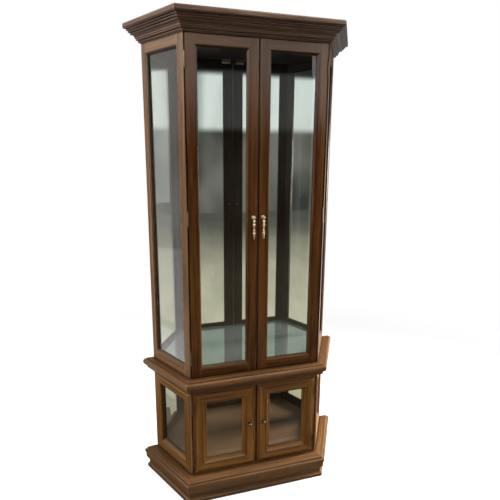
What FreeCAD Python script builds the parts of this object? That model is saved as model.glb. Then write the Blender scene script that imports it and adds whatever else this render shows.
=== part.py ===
import FreeCAD
import Part
import math
import os

# A standing display cabinet: a shallow case with a flat front of four glazed doors, two canted
# glass sides, a mirrored back, a reeded cornice, a moulded waist and a moulded base.
# X runs to the viewer's right, Y to the back and Z up. The origin is on the floor, under the
# middle of the cabinet's outer box. Sizes are in millimetres and degrees.

V = FreeCAD.Vector

# Plan of the case
FRONT_WIDTH = 578.0          # between the two front corners, at the door faces
CASE_DEPTH = 247.0           # from the door faces to the back
CANT_ANGLE = 61.0            # between a canted side and the front

# Heights of the two glazed compartments
LOWER_HEIGHT = 397.0
UPPER_HEIGHT = 1360.0

# Mouldings, read from the bottom up: each member is its kind, its projection and its rise
BASE_FOOT = 43.0             # projection where the base meets the floor
BASE_MEMBERS = (
    ("flat", 0.0, 12.0),
    ("cove", -8.0, 17.0),
    ("flat", 0.0, 7.0),
    ("cove", 9.0, 16.0),
    ("flat", 3.0, 0.0),
    ("flat", 0.0, 23.0),
    ("cove", 3.0, 5.0),
    ("flat", 2.0, 0.0),
    ("flat", 0.0, 8.0),
    ("round", -8.0, 7.0),
    ("flat", -1.5, 0.0),
    ("flat", 0.0, 1.5),
    ("round", -8.0, 6.0),
    ("flat", -20.0, 2.5),
)
WAIST_FOOT = 3.0
WAIST_MEMBERS = (
    ("cove", 13.0, 12.0),
    ("flat", 3.0, 0.0),
    ("round", 8.0, 9.0),
    ("flat", 0.0, 3.0),
    ("cove", 9.0, 10.0),
    ("flat", 2.0, 0.0),
    ("round", 1.0, 6.0),
    ("flat", -1.0, 0.0),
    ("flat", 0.0, 1.5),
    ("flat", 5.0, 0.0),
    ("flat", 0.0, 6.5),
    ("round", -13.0, 13.0),
    ("flat", -2.0, 0.0),
    ("flat", 0.0, 3.0),
)
CORNICE_FOOT = 4.0
CORNICE_FILLET = (
    ("flat", 0.0, 2.0),
    ("flat", 2.0, 0.0),
)
CORNICE_LOW_REEDS = (        # projection and rise of each reed
    (4.5, 5.5),
    (4.5, 5.5),
)
CORNICE_COVE = (
    ("cove", 9.0, 12.5),
    ("flat", 3.0, 0.0),
)
CORNICE_HIGH_REEDS = (
    (4.0, 5.5),
    (3.5, 5.0),
    (3.0, 4.5),
)
REED_GROOVE = 2.0            # height and depth of the groove over each reed
REED_STEP = 3.0              # from the top of a reed out to the next member
CORNICE_NOSE = (
    ("round", 7.5, 7.5),
    ("flat", 0.0, 8.0),
    ("round", -8.0, 8.0),
)
QUARTER_BULGE = (math.sqrt(2.0) - 1.0) / 2.0      # rise of a quarter circle over its chord
HALF_BULGE = 0.5                                  # the same for a half circle

# Boards
BASE_RAIL_THICK = 40.0       # rails of the frame inside the base
FLOOR_THICK = 18.0           # wooden floor of the lower compartment
WAIST_BOARD_THICK = 22.0     # board between the compartments
UPPER_FLOOR_THICK = 26.0     # floor of the upper compartment, under its mirror
TOP_BOARD_THICK = 18.0
BACK_THICK = 10.0
MIRROR_THICK = 4.0
HEADER_TOP_GAP = 14.0        # from the cornice's top down to the top of the frames

# Doors and side frames
DOOR_THICK = 20.0
FRAME_THICK = 22.0           # canted side frames
DOOR_GAP = 2.0               # above and below each door
MEETING_GAP = 4.0            # between the two doors of a pair
DOOR_SEAT_GAP = 0.5          # between a closed door's back and the post behind it
POST_LIP = 2.5               # front edge of the corner post beside the door
EDGE_EASE = 2.0              # rounding of a door's outer edge
DOOR_FLAT = 36.0             # flat face of an upper door's stile and rail
SIDE_FRONT_FLAT = 38.0       # flat face of an upper side frame's front stile
SIDE_BACK_FLAT = 28.0        # the same at the back
SIDE_RAIL_FLAT = 37.0        # the same at top and bottom
STICK_WIDTH = 10.0           # moulded inner edge round the upper glass
STICK_QUIRK = 1.5            # small step beside the flat face
STICK_DROP = 7.0             # depth of the moulded edge at the glass
STICK_BULGE = 0.12           # roundness of the moulded edge, its rise over its chord
GLASS_SET = 11.0             # from a frame's face to the glass
GLASS_THICK = 4.0
GLASS_LAP = 8.0              # depth of the rebate that holds the glass
GLASS_PLAY = 1.0             # round the edges of a pane

# Picture-frame moulding of the lower doors and lower side panels, from the outer edge inward
PANEL_MARGIN = 13.0          # plain outer margin
PANEL_RAISE = 4.5            # how far the broad face stands proud at its outer edge
PANEL_BROAD_END = 41.0       # inner end of the broad face
PANEL_BROAD_DROP = 2.5       # how far the broad face falls toward the glass
PANEL_QUIRK = 1.5            # groove beside the broad face
PANEL_BEAD = 6.5             # width of the bead beside the groove
PANEL_WIDTH = 62.0           # whole width, to the glass
PANEL_NOSE = 2.0             # flat edge at the glass
PANEL_COVE_DROP = 8.0        # depth of that edge below the frame's face
PANEL_COVE_BULGE = 0.1       # hollowness of the slope down to it, its depth over its chord
SIDE_STILE = 30.0            # plain frame under the lower side panels' moulding
SIDE_MOULDING_DEPTH = 20.0   # how far that moulding reaches into its frame

# Hinges: butt hinges with a proud barrel at the front corners
LEAF_THICK = 1.2
LEAF_PLAY = 0.1              # from a leaf to the hinge's middle plane
LEAF_DEPTH = 16.0
HINGE_HEIGHT = 50.0
KNUCKLES = 3
KNUCKLE_GAP = 0.3
BARREL_RADIUS = 3.25
BARREL_STANDOFF = 0.15       # from the door faces to the barrel
PIN_RADIUS = 1.5
PIN_PLAY = 0.05
LEAF_CLEAR = 0.2             # from a leaf to the other leaf's knuckles
FINIAL_COLLAR = 1.5
FINIAL_HEIGHT = 6.5
FINIAL_RADIUS = 2.6
UPPER_HINGE_INSET = 93.0     # from a door's end to its outer hinge's middle
LOWER_HINGE_INSET = 73.0

# Drop pulls on the upper doors
PULL_HEIGHT = 677.0          # pivot above the upper compartment's bottom
ROSETTE_RADIUS = 8.5
ROSETTE_THICK = 3.0
ROSETTE_RIM = 1.0            # square edge of the rosette
PULL_NECK_RADIUS = 3.5
PIVOT_OUT = 13.0             # from the door face to the pivot
EYE_BALL_RADIUS = 6.5
EYE_SLOT = 3.4
EYE_REACH = 4.6              # slot behind and above the pivot
PIVOT_PIN_RADIUS = 1.1
TONGUE_THICK = 2.8
TONGUE_RADIUS = 4.0
DROP_SWELL = 0.12            # roundness of the drop's curves, their rise over their chord
DROP_START = 7.0             # top of the turned drop below the pivot
DROP_LENGTH = 87.0           # tip of the drop below the pivot
DROP_TIP_RADIUS = 2.6
DROP_TURNINGS = (            # down the drop: radius, depth below the pivot and any roundness
    (2.2, DROP_START),
    (6.6, 13.0),
    (6.6, 16.5),
    (3.6, 19.0),
    (3.4, 22.0),
    (5.4, 31.5, DROP_SWELL),
    (3.0, 36.0, DROP_SWELL),
    (3.2, 38.0),
    (5.6, 52.5, -DROP_SWELL),
    (3.6, 55.0),
    (3.6, 57.0),
    (6.6, 62.0, DROP_SWELL),
    (4.0, 67.5, DROP_SWELL),
    (4.4, 70.0),
)

# Knobs on the lower doors
KNOB_PLATE_MARGIN = 1.5      # of the door's broad face left round a knob's plate
KNOB_PLATE_THICK = 2.0
KNOB_NECK_RADIUS = 3.5
KNOB_RADIUS = 8.5
KNOB_OUT = 22.0              # from the door's broad face to the knob's front
KNOB_RISE = 13.0             # above the middle of the lower compartment

# Magnetic catches inside, one to a door
CATCH_WIDTH = 40.0
CATCH_DEPTH = 13.0
CATCH_HEIGHT = 12.0
CATCH_BEHIND_DOOR = 2.5      # from an upper door's back to its catch
CATCH_FROM_MEETING = 12.0

# Derived places
CANT = math.radians(CANT_ANGLE)
CORNER_X = FRONT_WIDTH / 2.0
SIDE_LENGTH = CASE_DEPTH / math.sin(CANT)


def total_rise(members):
    """Height of a whole moulding."""
    return sum(rise for kind, out, rise in members)


def widest(foot, members):
    """Greatest projection of a moulding."""
    projection = foot
    reached = foot
    for kind, out, rise in members:
        projection += out
        reached = max(reached, projection)
    return reached


def reeded(reeds):
    """Members of a row of reeds with a groove over each."""
    members = []
    for out, rise in reeds:
        members.append(("round", out, rise))
        members.append(("flat", -REED_GROOVE, 0.0))
        members.append(("flat", 0.0, REED_GROOVE))
        members.append(("flat", REED_GROOVE + REED_STEP, 0.0))
    return tuple(members)


CORNICE_REEDING = reeded(CORNICE_LOW_REEDS) + CORNICE_COVE + reeded(CORNICE_HIGH_REEDS)
CORNICE_MEMBERS = CORNICE_FILLET + CORNICE_REEDING + CORNICE_NOSE
BASE_TOP = total_rise(BASE_MEMBERS)
WAIST_BOTTOM = BASE_TOP + LOWER_HEIGHT
WAIST_TOP = WAIST_BOTTOM + total_rise(WAIST_MEMBERS)
CORNICE_BOTTOM = WAIST_TOP + UPPER_HEIGHT
CORNICE_TOP = CORNICE_BOTTOM + total_rise(CORNICE_MEMBERS)
FRAME_TOP = CORNICE_TOP - HEADER_TOP_GAP
WAIST_BOARD_BOTTOM = WAIST_TOP - WAIST_BOARD_THICK
UPPER_FLOOR_TOP = WAIST_TOP + UPPER_FLOOR_THICK
FACE_Y = (widest(CORNICE_FOOT, CORNICE_MEMBERS) - CASE_DEPTH) / 2.0
BACK_Y = FACE_Y + CASE_DEPTH
POST_Y = FACE_Y + DOOR_THICK + DOOR_SEAT_GAP
PANEL_Y = BACK_Y - BACK_THICK
HINGE_GAP = 2.0 * (LEAF_THICK + LEAF_PLAY)
LIP_X = CORNER_X - POST_LIP
HINGE_X = LIP_X - HINGE_GAP / 2.0
HINGE_Y = FACE_Y - BARREL_STANDOFF - BARREL_RADIUS
DOOR_INNER_X = MEETING_GAP / 2.0
DOOR_OUTER_X = LIP_X - HINGE_GAP
BROAD_FACE = PANEL_BROAD_END - PANEL_MARGIN - PANEL_RAISE
BROAD_SLOPE = math.degrees(math.atan2(PANEL_BROAD_DROP, BROAD_FACE))
KNOB_PLATE_RADIUS = BROAD_FACE / 2.0 - KNOB_PLATE_MARGIN
REACH = 2.0 * (FRONT_WIDTH + CASE_DEPTH + CORNICE_TOP)


def outline(points):
    """Closed face in the XY plane; a point with a third value is reached by an arc of that bulge."""
    edges = []
    here = V(points[0][0], points[0][1], 0)
    for point in list(points[1:]) + [points[0][:2]]:
        there = V(point[0], point[1], 0)
        if len(point) > 2:
            chord = there - here
            middle = (here + there) * 0.5 + V(-chord.y, chord.x, 0) * point[2]
            edges.append(Part.Arc(here, middle, there).toShape())
        else:
            edges.append(Part.LineSegment(here, there).toShape())
        here = there
    return Part.Face(Part.Wire(edges))


def box(x0, x1, y0, y1, z0, z1):
    """Block between the given planes."""
    return Part.makeBox(x1 - x0, y1 - y0, z1 - z0, V(x0, y0, z0))


def mirrored(shape):
    """The left-hand twin of a right-hand shape."""
    return shape.mirror(V(0, 0, 0), V(1, 0, 0))


def both_sides(shape):
    """A right-hand shape and its left-hand twin."""
    return [shape, mirrored(shape)]


def one_solid(shape):
    """The single solid of a shape, tidied."""
    tidy = shape.removeSplitter()
    if len(tidy.Solids) != 1:
        raise ValueError("expected one solid, found %d" % len(tidy.Solids))
    return tidy.Solids[0]


def trim(shape, point, normal):
    """Cut away what lies beyond the plane through a point, on the side that its normal shows."""
    cutter = Part.makeBox(REACH, REACH, REACH)
    cutter.translate(V(-REACH / 2.0, -REACH / 2.0, 0))
    turn = FreeCAD.Rotation(V(0, 0, 1), normal)
    cutter.Placement = FreeCAD.Placement(point, turn).multiply(cutter.Placement)
    return one_solid(shape.cut(cutter))


def turned(points):
    """Solid of revolution about the Y axis from an outline of radius and height."""
    return outline(points).revolve(V(0, 0, 0), V(0, 1, 0), 360)


def upright(shape):
    """Stand a shape that runs along Y on end, so that its Y runs up."""
    shape.rotate(V(0, 0, 0), V(1, 0, 0), 90)
    return shape


def export(node, shapes):
    """Write one node, which holds one solid or a group of separate ones."""
    shape = shapes if isinstance(shapes, Part.Shape) else Part.makeCompound(shapes)
    shape.exportStep(os.path.join("parts", node + ".step"))


# Plan of the case at a distance outside the canted faces, negative for inside

def cant_x(depth, offset):
    """X of the right canted line, at a depth behind the door faces and an offset outward."""
    return CORNER_X + offset / math.sin(CANT) + depth / math.tan(CANT)


def plan_board(offset, front_y, back_y, bottom, top):
    """Board that fills the case's plan between two depths."""
    front = cant_x(front_y - FACE_Y, offset)
    back = cant_x(back_y - FACE_Y, offset)
    plan = outline([(-front, front_y), (front, front_y), (back, back_y), (-back, back_y)])
    plan.translate(V(0, 0, bottom))
    return plan.extrude(V(0, 0, top - bottom))


# Mouldings

def moulding_face(foot, members, bottom):
    """Section of a moulding in the XY plane, with X outward and Y up, backed by the case."""
    points = [(0.0, bottom), (foot, bottom)]
    out = foot
    level = bottom
    for kind, projection, rise in members:
        out += projection
        level += rise
        if kind == "flat":
            points.append((out, level))
        else:
            bulge = -QUARTER_BULGE if kind == "round" else QUARTER_BULGE
            points.append((out, level, bulge))
    points.append((0.0, level))
    return outline(points)


def run_solid(face, heading):
    """Long straight run of a section whose outward side is turned from the front by a heading."""
    section = upright(face.copy())
    section.rotate(V(0, 0, 0), V(0, 0, 1), heading - 90.0)
    along = V(math.cos(math.radians(heading)), math.sin(math.radians(heading)), 0)
    section.translate(V(CORNER_X, FACE_Y, 0) - along * REACH / 4.0)
    return section.extrude(along * REACH / 2.0)


def mitred_runs(face):
    """Front, left and right lengths of a moulding, mitred at the front corners."""
    corner = V(CORNER_X, FACE_Y, 0)
    mitre = V(1, math.tan(CANT / 2.0), 0)
    front = trim(run_solid(face, 0.0), corner, mitre)
    front = trim(front, V(-CORNER_X, FACE_Y, 0), V(-mitre.x, mitre.y, 0))
    right = trim(run_solid(face, CANT_ANGLE), corner, mitre * -1.0)
    right = trim(right, V(0, BACK_Y, 0), V(0, 1, 0))
    return {"front": front, "left": mirrored(right), "right": right}


def make_mouldings():
    """Base, waist and cornice, each in three mitred lengths."""
    sets = (
        ("base_moulding", BASE_FOOT, BASE_MEMBERS, 0.0),
        ("waist_moulding", WAIST_FOOT, WAIST_MEMBERS, WAIST_BOTTOM),
        ("cornice", CORNICE_FOOT, CORNICE_MEMBERS, CORNICE_BOTTOM),
    )
    for name, foot, members, bottom in sets:
        for place, run in mitred_runs(moulding_face(foot, members, bottom)).items():
            export(name + "_" + place, run)


# Boards, backs and mirrors

def make_base_frame():
    """Four rails inside the base, which carry the side frames and the lower floor."""
    rail = outline([(-BASE_RAIL_THICK, 0), (0, 0), (0, BASE_TOP), (-BASE_RAIL_THICK, BASE_TOP)])
    runs = mitred_runs(rail)
    back_front = BACK_Y - FRAME_THICK
    rails = [runs["front"]]
    for place in ("left", "right"):
        rails.append(trim(runs[place], V(0, back_front, 0), V(0, 1, 0)))
    rails.append(plan_board(0.0, back_front, BACK_Y, 0.0, BASE_TOP))
    export("base_frame_rails", rails)


def make_boards():
    """Floors, waist board, top board and the two header rails over the doors."""
    floor_back = PANEL_Y - MIRROR_THICK
    floor_top = BASE_TOP + FLOOR_THICK
    board_top = CORNICE_BOTTOM + TOP_BOARD_THICK
    export("lower_floor", plan_board(-FRAME_THICK, POST_Y, floor_back, BASE_TOP, floor_top))
    export("waist_board", plan_board(0.0, FACE_Y, BACK_Y, WAIST_BOARD_BOTTOM, WAIST_TOP))
    export("upper_floor", plan_board(-FRAME_THICK, POST_Y, PANEL_Y, WAIST_TOP, UPPER_FLOOR_TOP))
    export("top_board", plan_board(-FRAME_THICK, POST_Y, PANEL_Y, CORNICE_BOTTOM, board_top))
    headers = (
        ("lower_header_rail", WAIST_BOTTOM, WAIST_BOARD_BOTTOM),
        ("upper_header_rail", CORNICE_BOTTOM, FRAME_TOP),
    )
    for name, bottom, top in headers:
        export(name, box(-LIP_X, LIP_X, FACE_Y, POST_Y, bottom, top))


def make_backs():
    """Back panels, the mirrors in front of them and the mirror on the upper floor."""
    mirror_y = PANEL_Y - MIRROR_THICK
    inside = -FRAME_THICK - GLASS_PLAY
    export("lower_back_panel", plan_board(-FRAME_THICK, PANEL_Y, BACK_Y, BASE_TOP, WAIST_BOARD_BOTTOM))
    export("upper_back_panel", plan_board(-FRAME_THICK, PANEL_Y, BACK_Y, WAIST_TOP, FRAME_TOP))
    export("lower_mirror", plan_board(inside, mirror_y, PANEL_Y, BASE_TOP, WAIST_BOARD_BOTTOM))
    export("upper_mirror", plan_board(inside, mirror_y, PANEL_Y, UPPER_FLOOR_TOP, CORNICE_BOTTOM))
    deck_top = UPPER_FLOOR_TOP + MIRROR_THICK
    export("upper_floor_mirror", plan_board(inside, POST_Y, mirror_y, UPPER_FLOOR_TOP, deck_top))


# Sections of stiles and rails, with X across from the outer edge and Y from the face to the back

def sticking(flat, thick):
    """Moulded inner edge and glass rebate, from the flat face round to the frame's back."""
    nose = flat + STICK_WIDTH
    return [
        (flat, 0.0),
        (flat, STICK_QUIRK),
        (nose, STICK_DROP, -STICK_BULGE),
        (nose, GLASS_SET),
        (nose - GLASS_LAP, GLASS_SET),
        (nose - GLASS_LAP, thick),
    ]


def panel_front():
    """Front line of the picture-frame moulding, from its margin in to the glass rebate."""
    step = PANEL_MARGIN + PANEL_RAISE
    bead_start = PANEL_BROAD_END + PANEL_QUIRK
    bead_end = bead_start + PANEL_BEAD
    nose = PANEL_WIDTH - PANEL_NOSE
    return [
        (PANEL_MARGIN, 0.0),
        (step, -PANEL_RAISE, -QUARTER_BULGE),
        (PANEL_BROAD_END, PANEL_BROAD_DROP - PANEL_RAISE),
        (PANEL_BROAD_END, 0.0),
        (bead_start, 0.0),
        (bead_end, 0.0, -HALF_BULGE),
        (nose, PANEL_COVE_DROP, PANEL_COVE_BULGE),
        (PANEL_WIDTH, PANEL_COVE_DROP),
        (PANEL_WIDTH, GLASS_SET),
        (PANEL_WIDTH - GLASS_LAP, GLASS_SET),
    ]


def stile(section, x, y, bottom, top):
    """Upright member of a section, with its outer edge at X."""
    face = section.copy()
    face.translate(V(x, y, bottom))
    return face.extrude(V(0, 0, top - bottom))


def rail(section, z, y, left, right):
    """Level member of a section, with its outer edge at Z and its moulded edge upward."""
    face = section.copy()
    face.rotate(V(0, 0, 0), V(0, 1, 0), -90)
    face.translate(V(left, y, z))
    return face.extrude(V(right - left, 0, 0))


def coped(rails, stiles):
    """Rails cut over the moulded edges of the stiles that they meet."""
    cut = []
    for member in rails:
        for post in stiles:
            member = member.cut(post)
        cut.append(one_solid(member))
    return cut


def mitred_frame(section, x0, x1, y, z0, z1):
    """Stiles and rails of a mitred frame of one section."""
    upright_member = stile(section, x0, y, z0, z1)
    upright_member = trim(upright_member, V(x0, 0, z0), V(1, 0, -1))
    upright_member = trim(upright_member, V(x0, 0, z1), V(1, 0, 1))
    level_member = rail(section, z0, y, x0, x1)
    level_member = trim(level_member, V(x0, 0, z0), V(-1, 0, 1))
    level_member = trim(level_member, V(x1, 0, z0), V(1, 0, 1))
    middle = V((x0 + x1) / 2.0, 0, (z0 + z1) / 2.0)
    stiles = [upright_member, upright_member.mirror(middle, V(1, 0, 0))]
    rails = [level_member, level_member.mirror(middle, V(0, 0, 1))]
    return stiles, rails


def pane(x0, x1, z0, z1, y):
    """Glass in a rebate whose walls are given."""
    play = GLASS_PLAY
    return box(x0 + play, x1 - play, y, y + GLASS_THICK, z0 + play, z1 - play)


def stops(x0, x1, z0, z1, y0, y1):
    """Four slips that hold a pane into its rebate from behind."""
    slip = GLASS_LAP
    return [
        box(x0, x0 + slip, y0, y1, z0, z1),
        box(x1 - slip, x1, y0, y1, z0, z1),
        box(x0 + slip, x1 - slip, y0, y1, z0, z0 + slip),
        box(x0 + slip, x1 - slip, y0, y1, z1 - slip, z1),
    ]


# Canted sides, made in their own plane: X back from the front corner, Y inward, Z up

def set_right(shape):
    """Place a side's piece on the right of the case."""
    placed = shape.copy()
    placed.rotate(V(0, 0, 0), V(0, 0, 1), CANT_ANGLE)
    placed.translate(V(CORNER_X, FACE_Y, 0))
    return placed


def side_point(x, y):
    """A point of the case's plan, measured in the right side's own plane."""
    across = x - CORNER_X
    depth = y - FACE_Y
    along = across * math.cos(CANT) + depth * math.sin(CANT)
    inward = depth * math.cos(CANT) - across * math.sin(CANT)
    return (along, inward)


def along_at(inward, y):
    """Length along the side at which a line parallel to it reaches a depth of the case."""
    return (y - FACE_Y - inward * math.cos(CANT)) / math.sin(CANT)


def front_post(inner_edge):
    """Front stile: a post with a lip beside the door and a shoulder behind it."""
    return outline([(0.0, 0.0)] + inner_edge + [
        (along_at(FRAME_THICK, POST_Y), FRAME_THICK),
        side_point(LIP_X, POST_Y),
        side_point(LIP_X, FACE_Y),
    ])


def back_post(inner_edge):
    """Back stile, cut off along the case's back."""
    mirrored_edge = [(SIDE_LENGTH - p[0], p[1]) + tuple(-b for b in p[2:]) for p in inner_edge]
    return outline([(SIDE_LENGTH, 0.0)] + mirrored_edge + [
        (along_at(FRAME_THICK, BACK_Y), FRAME_THICK),
    ])


def make_upper_sides():
    """Upper canted frames with their glass; returns the slips of the right one."""
    stiles = [
        stile(front_post(sticking(SIDE_FRONT_FLAT, FRAME_THICK)), 0, 0, WAIST_TOP, FRAME_TOP),
        stile(back_post(sticking(SIDE_BACK_FLAT, FRAME_THICK)), 0, 0, WAIST_TOP, FRAME_TOP),
    ]
    low = sticking(SIDE_RAIL_FLAT, FRAME_THICK)
    low_section = outline([(0.0, 0.0)] + low + [(0.0, FRAME_THICK)])
    hidden = FRAME_TOP - CORNICE_BOTTOM
    high_section = outline([(-hidden, 0.0)] + low + [(-hidden, FRAME_THICK)])
    left = SIDE_FRONT_FLAT
    right = SIDE_LENGTH - SIDE_BACK_FLAT
    low_rail = rail(low_section, WAIST_TOP, 0, left, right)
    middle = V(0, 0, (WAIST_TOP + CORNICE_BOTTOM) / 2.0)
    high_rail = rail(high_section, WAIST_TOP, 0, left, right).mirror(middle, V(0, 0, 1))
    rebate = STICK_WIDTH - GLASS_LAP
    hole = (
        SIDE_FRONT_FLAT + rebate,
        SIDE_LENGTH - SIDE_BACK_FLAT - rebate,
        WAIST_TOP + SIDE_RAIL_FLAT + rebate,
        CORNICE_BOTTOM - SIDE_RAIL_FLAT - rebate,
    )
    frame = [set_right(member) for member in stiles + coped([low_rail, high_rail], stiles)]
    slips = [set_right(slip) for slip in stops(*hole, GLASS_SET + GLASS_THICK, FRAME_THICK)]
    export("upper_right_side_frame", frame)
    export("upper_left_side_frame", [mirrored(member) for member in frame])
    export("upper_side_glass", both_sides(set_right(pane(*hole, GLASS_SET))))
    return slips


def make_lower_sides():
    """Lower canted frames with their moulding and glass; returns the slips of the right one."""
    plain_edge = [(SIDE_STILE, 0.0), (SIDE_STILE, FRAME_THICK)]
    top = WAIST_BOARD_BOTTOM
    far = SIDE_LENGTH - SIDE_STILE
    frame = [
        stile(front_post(plain_edge), 0, 0, BASE_TOP, top),
        stile(back_post(plain_edge), 0, 0, BASE_TOP, top),
        box(SIDE_STILE, far, 0, FRAME_THICK, BASE_TOP, BASE_TOP + SIDE_STILE),
        box(SIDE_STILE, far, 0, FRAME_THICK, WAIST_BOTTOM - SIDE_STILE, top),
    ]
    section = outline([(SIDE_STILE, SIDE_MOULDING_DEPTH), (SIDE_STILE, 0.0)] + panel_front() + [
        (PANEL_WIDTH - GLASS_LAP, SIDE_MOULDING_DEPTH),
    ])
    stiles, rails = mitred_frame(section, 0, SIDE_LENGTH, 0, BASE_TOP, WAIST_BOTTOM)
    edge = PANEL_WIDTH - GLASS_LAP
    hole = (edge, SIDE_LENGTH - edge, BASE_TOP + edge, WAIST_BOTTOM - edge)
    frame = [set_right(member) for member in frame]
    moulding = [set_right(member) for member in stiles + rails]
    slips = [set_right(slip) for slip in stops(*hole, GLASS_SET + GLASS_THICK, SIDE_MOULDING_DEPTH)]
    export("lower_right_side_frame", frame)
    export("lower_left_side_frame", [mirrored(member) for member in frame])
    export("lower_side_mouldings", moulding + [mirrored(member) for member in moulding])
    export("lower_side_glass", both_sides(set_right(pane(*hole, GLASS_SET))))
    return slips


# Doors, made on the right and mirrored for the left

def export_door(door, piece, shapes):
    """Write one piece of both doors of a pair."""
    export("%s_right_%s" % (door, piece), shapes)
    export("%s_left_%s" % (door, piece), [mirrored(shape) for shape in shapes])


def make_door(door, stiles, rails, hole):
    """Export a pair of doors' frames, glass and slips."""
    glass_y = FACE_Y + GLASS_SET
    export_door(door, "door_stiles", stiles)
    export_door(door, "door_rails", rails)
    export_door(door, "door_glass", [pane(*hole, glass_y)])
    export_door(door, "door_glass_stops", stops(*hole, glass_y + GLASS_THICK, FACE_Y + DOOR_THICK))


def make_upper_doors():
    """Upper doors: stiles run through, and the rails are coped between them."""
    bottom = WAIST_TOP + DOOR_GAP
    top = CORNICE_BOTTOM - DOOR_GAP
    section = outline([(0.0, DOOR_THICK), (0.0, EDGE_EASE), (EDGE_EASE, 0.0, QUARTER_BULGE)]
                      + sticking(DOOR_FLAT, DOOR_THICK))
    middle = V((DOOR_INNER_X + DOOR_OUTER_X) / 2.0, 0, (bottom + top) / 2.0)
    meeting = stile(section, DOOR_INNER_X, FACE_Y, bottom, top)
    stiles = [meeting, meeting.mirror(middle, V(1, 0, 0))]
    low_rail = rail(section, bottom, FACE_Y, DOOR_INNER_X + DOOR_FLAT, DOOR_OUTER_X - DOOR_FLAT)
    rails = coped([low_rail, low_rail.mirror(middle, V(0, 0, 1))], stiles)
    edge = DOOR_FLAT + STICK_WIDTH - GLASS_LAP
    hole = (DOOR_INNER_X + edge, DOOR_OUTER_X - edge, bottom + edge, top - edge)
    make_door("upper", stiles, rails, hole)


def make_lower_doors():
    """Lower doors: mitred frames of the picture-frame moulding."""
    bottom = BASE_TOP + DOOR_GAP
    top = WAIST_BOTTOM - DOOR_GAP
    section = outline([(0.0, DOOR_THICK), (0.0, EDGE_EASE), (EDGE_EASE, 0.0, QUARTER_BULGE)]
                      + panel_front() + [(PANEL_WIDTH - GLASS_LAP, DOOR_THICK)])
    stiles, rails = mitred_frame(section, DOOR_INNER_X, DOOR_OUTER_X, FACE_Y, bottom, top)
    edge = PANEL_WIDTH - GLASS_LAP
    hole = (DOOR_INNER_X + edge, DOOR_OUTER_X - edge, bottom + edge, top - edge)
    make_door("lower", stiles, rails, hole)


# Hinges

def hinge_leaf(middle_z, side, first):
    """Leaf on one side of the barrel, with every second knuckle from the first one."""
    pitch = HINGE_HEIGHT / KNUCKLES
    low = middle_z - HINGE_HEIGHT / 2.0
    inner = LEAF_PLAY if side > 0 else -LEAF_PLAY - LEAF_THICK
    clear = BARREL_RADIUS + LEAF_CLEAR
    root = (PIN_RADIUS + PIN_PLAY + BARREL_RADIUS) / 2.0
    far = LEAF_DEPTH + FACE_Y - HINGE_Y
    leaf = box(inner, inner + LEAF_THICK, clear, far, low, low + HINGE_HEIGHT)
    for index in range(first, KNUCKLES, 2):
        bottom = low + index * pitch + KNUCKLE_GAP / 2.0
        top = low + (index + 1) * pitch - KNUCKLE_GAP / 2.0
        barrel = Part.makeCylinder(BARREL_RADIUS, top - bottom, V(0, 0, bottom))
        tab = box(inner, inner + LEAF_THICK, root, clear, bottom, top)
        bore = Part.makeCylinder(PIN_RADIUS + PIN_PLAY, top - bottom, V(0, 0, bottom))
        leaf = leaf.fuse(barrel.cut(bore)).fuse(tab)
    leaf = one_solid(leaf)
    leaf.translate(V(HINGE_X, HINGE_Y, 0))
    return leaf


def hinge_pin(middle_z):
    """Pin through the knuckles with a turned finial at each end."""
    half = HINGE_HEIGHT / 2.0
    neck = half + FINIAL_COLLAR
    ball_z = half + FINIAL_HEIGHT - FINIAL_RADIUS
    half_pin = upright(turned([
        (0.0, 0.0),
        (PIN_RADIUS, 0.0),
        (PIN_RADIUS, half),
        (BARREL_RADIUS, half),
        (BARREL_RADIUS, neck),
        (PIN_RADIUS, neck),
        (FINIAL_RADIUS, ball_z),
        (0.0, half + FINIAL_HEIGHT, -QUARTER_BULGE),
    ]))
    pin = one_solid(half_pin.fuse(half_pin.mirror(V(0, 0, 0), V(0, 0, 1))))
    pin.translate(V(HINGE_X, HINGE_Y, middle_z))
    return pin


def make_hinges():
    """Three hinges on each upper door and two on each lower one."""
    upper = (
        WAIST_TOP + UPPER_HINGE_INSET,
        (WAIST_TOP + CORNICE_BOTTOM) / 2.0,
        CORNICE_BOTTOM - UPPER_HINGE_INSET,
    )
    lower = (BASE_TOP + LOWER_HINGE_INSET, WAIST_BOTTOM - LOWER_HINGE_INSET)
    for door, levels in (("upper", upper), ("lower", lower)):
        case_leaves = [hinge_leaf(level, 1, 0) for level in levels]
        door_leaves = [hinge_leaf(level, -1, 1) for level in levels]
        pins = [hinge_pin(level) for level in levels]
        export_door(door, "door_hinge_leaves", door_leaves)
        export(door + "_hinge_case_leaves", case_leaves + [mirrored(leaf) for leaf in case_leaves])
        export(door + "_hinge_pins", pins + [mirrored(pin) for pin in pins])


# Pulls, knobs and catches

def pull_post():
    """Rosette with a slotted ball that holds the drop on a cross pin, about the pivot."""
    face = PIVOT_OUT
    profile = [
        (0.0, face),
        (ROSETTE_RADIUS, face),
        (ROSETTE_RADIUS, face - ROSETTE_RIM),
        (PULL_NECK_RADIUS, face - ROSETTE_THICK, QUARTER_BULGE),
        (PULL_NECK_RADIUS, 0.0),
        (0.0, 0.0),
    ]
    post = turned(profile).fuse(Part.makeSphere(EYE_BALL_RADIUS))
    outside = 2.0 * EYE_BALL_RADIUS
    slot = box(-EYE_SLOT / 2.0, EYE_SLOT / 2.0, -outside, EYE_REACH, -outside, EYE_REACH)
    pin_length = 2.0 * math.sqrt(EYE_BALL_RADIUS ** 2 - PIVOT_PIN_RADIUS ** 2)
    pin = Part.makeCylinder(PIVOT_PIN_RADIUS, pin_length, V(-pin_length / 2.0, 0, 0), V(1, 0, 0))
    return one_solid(post.cut(slot).fuse(pin))


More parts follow.
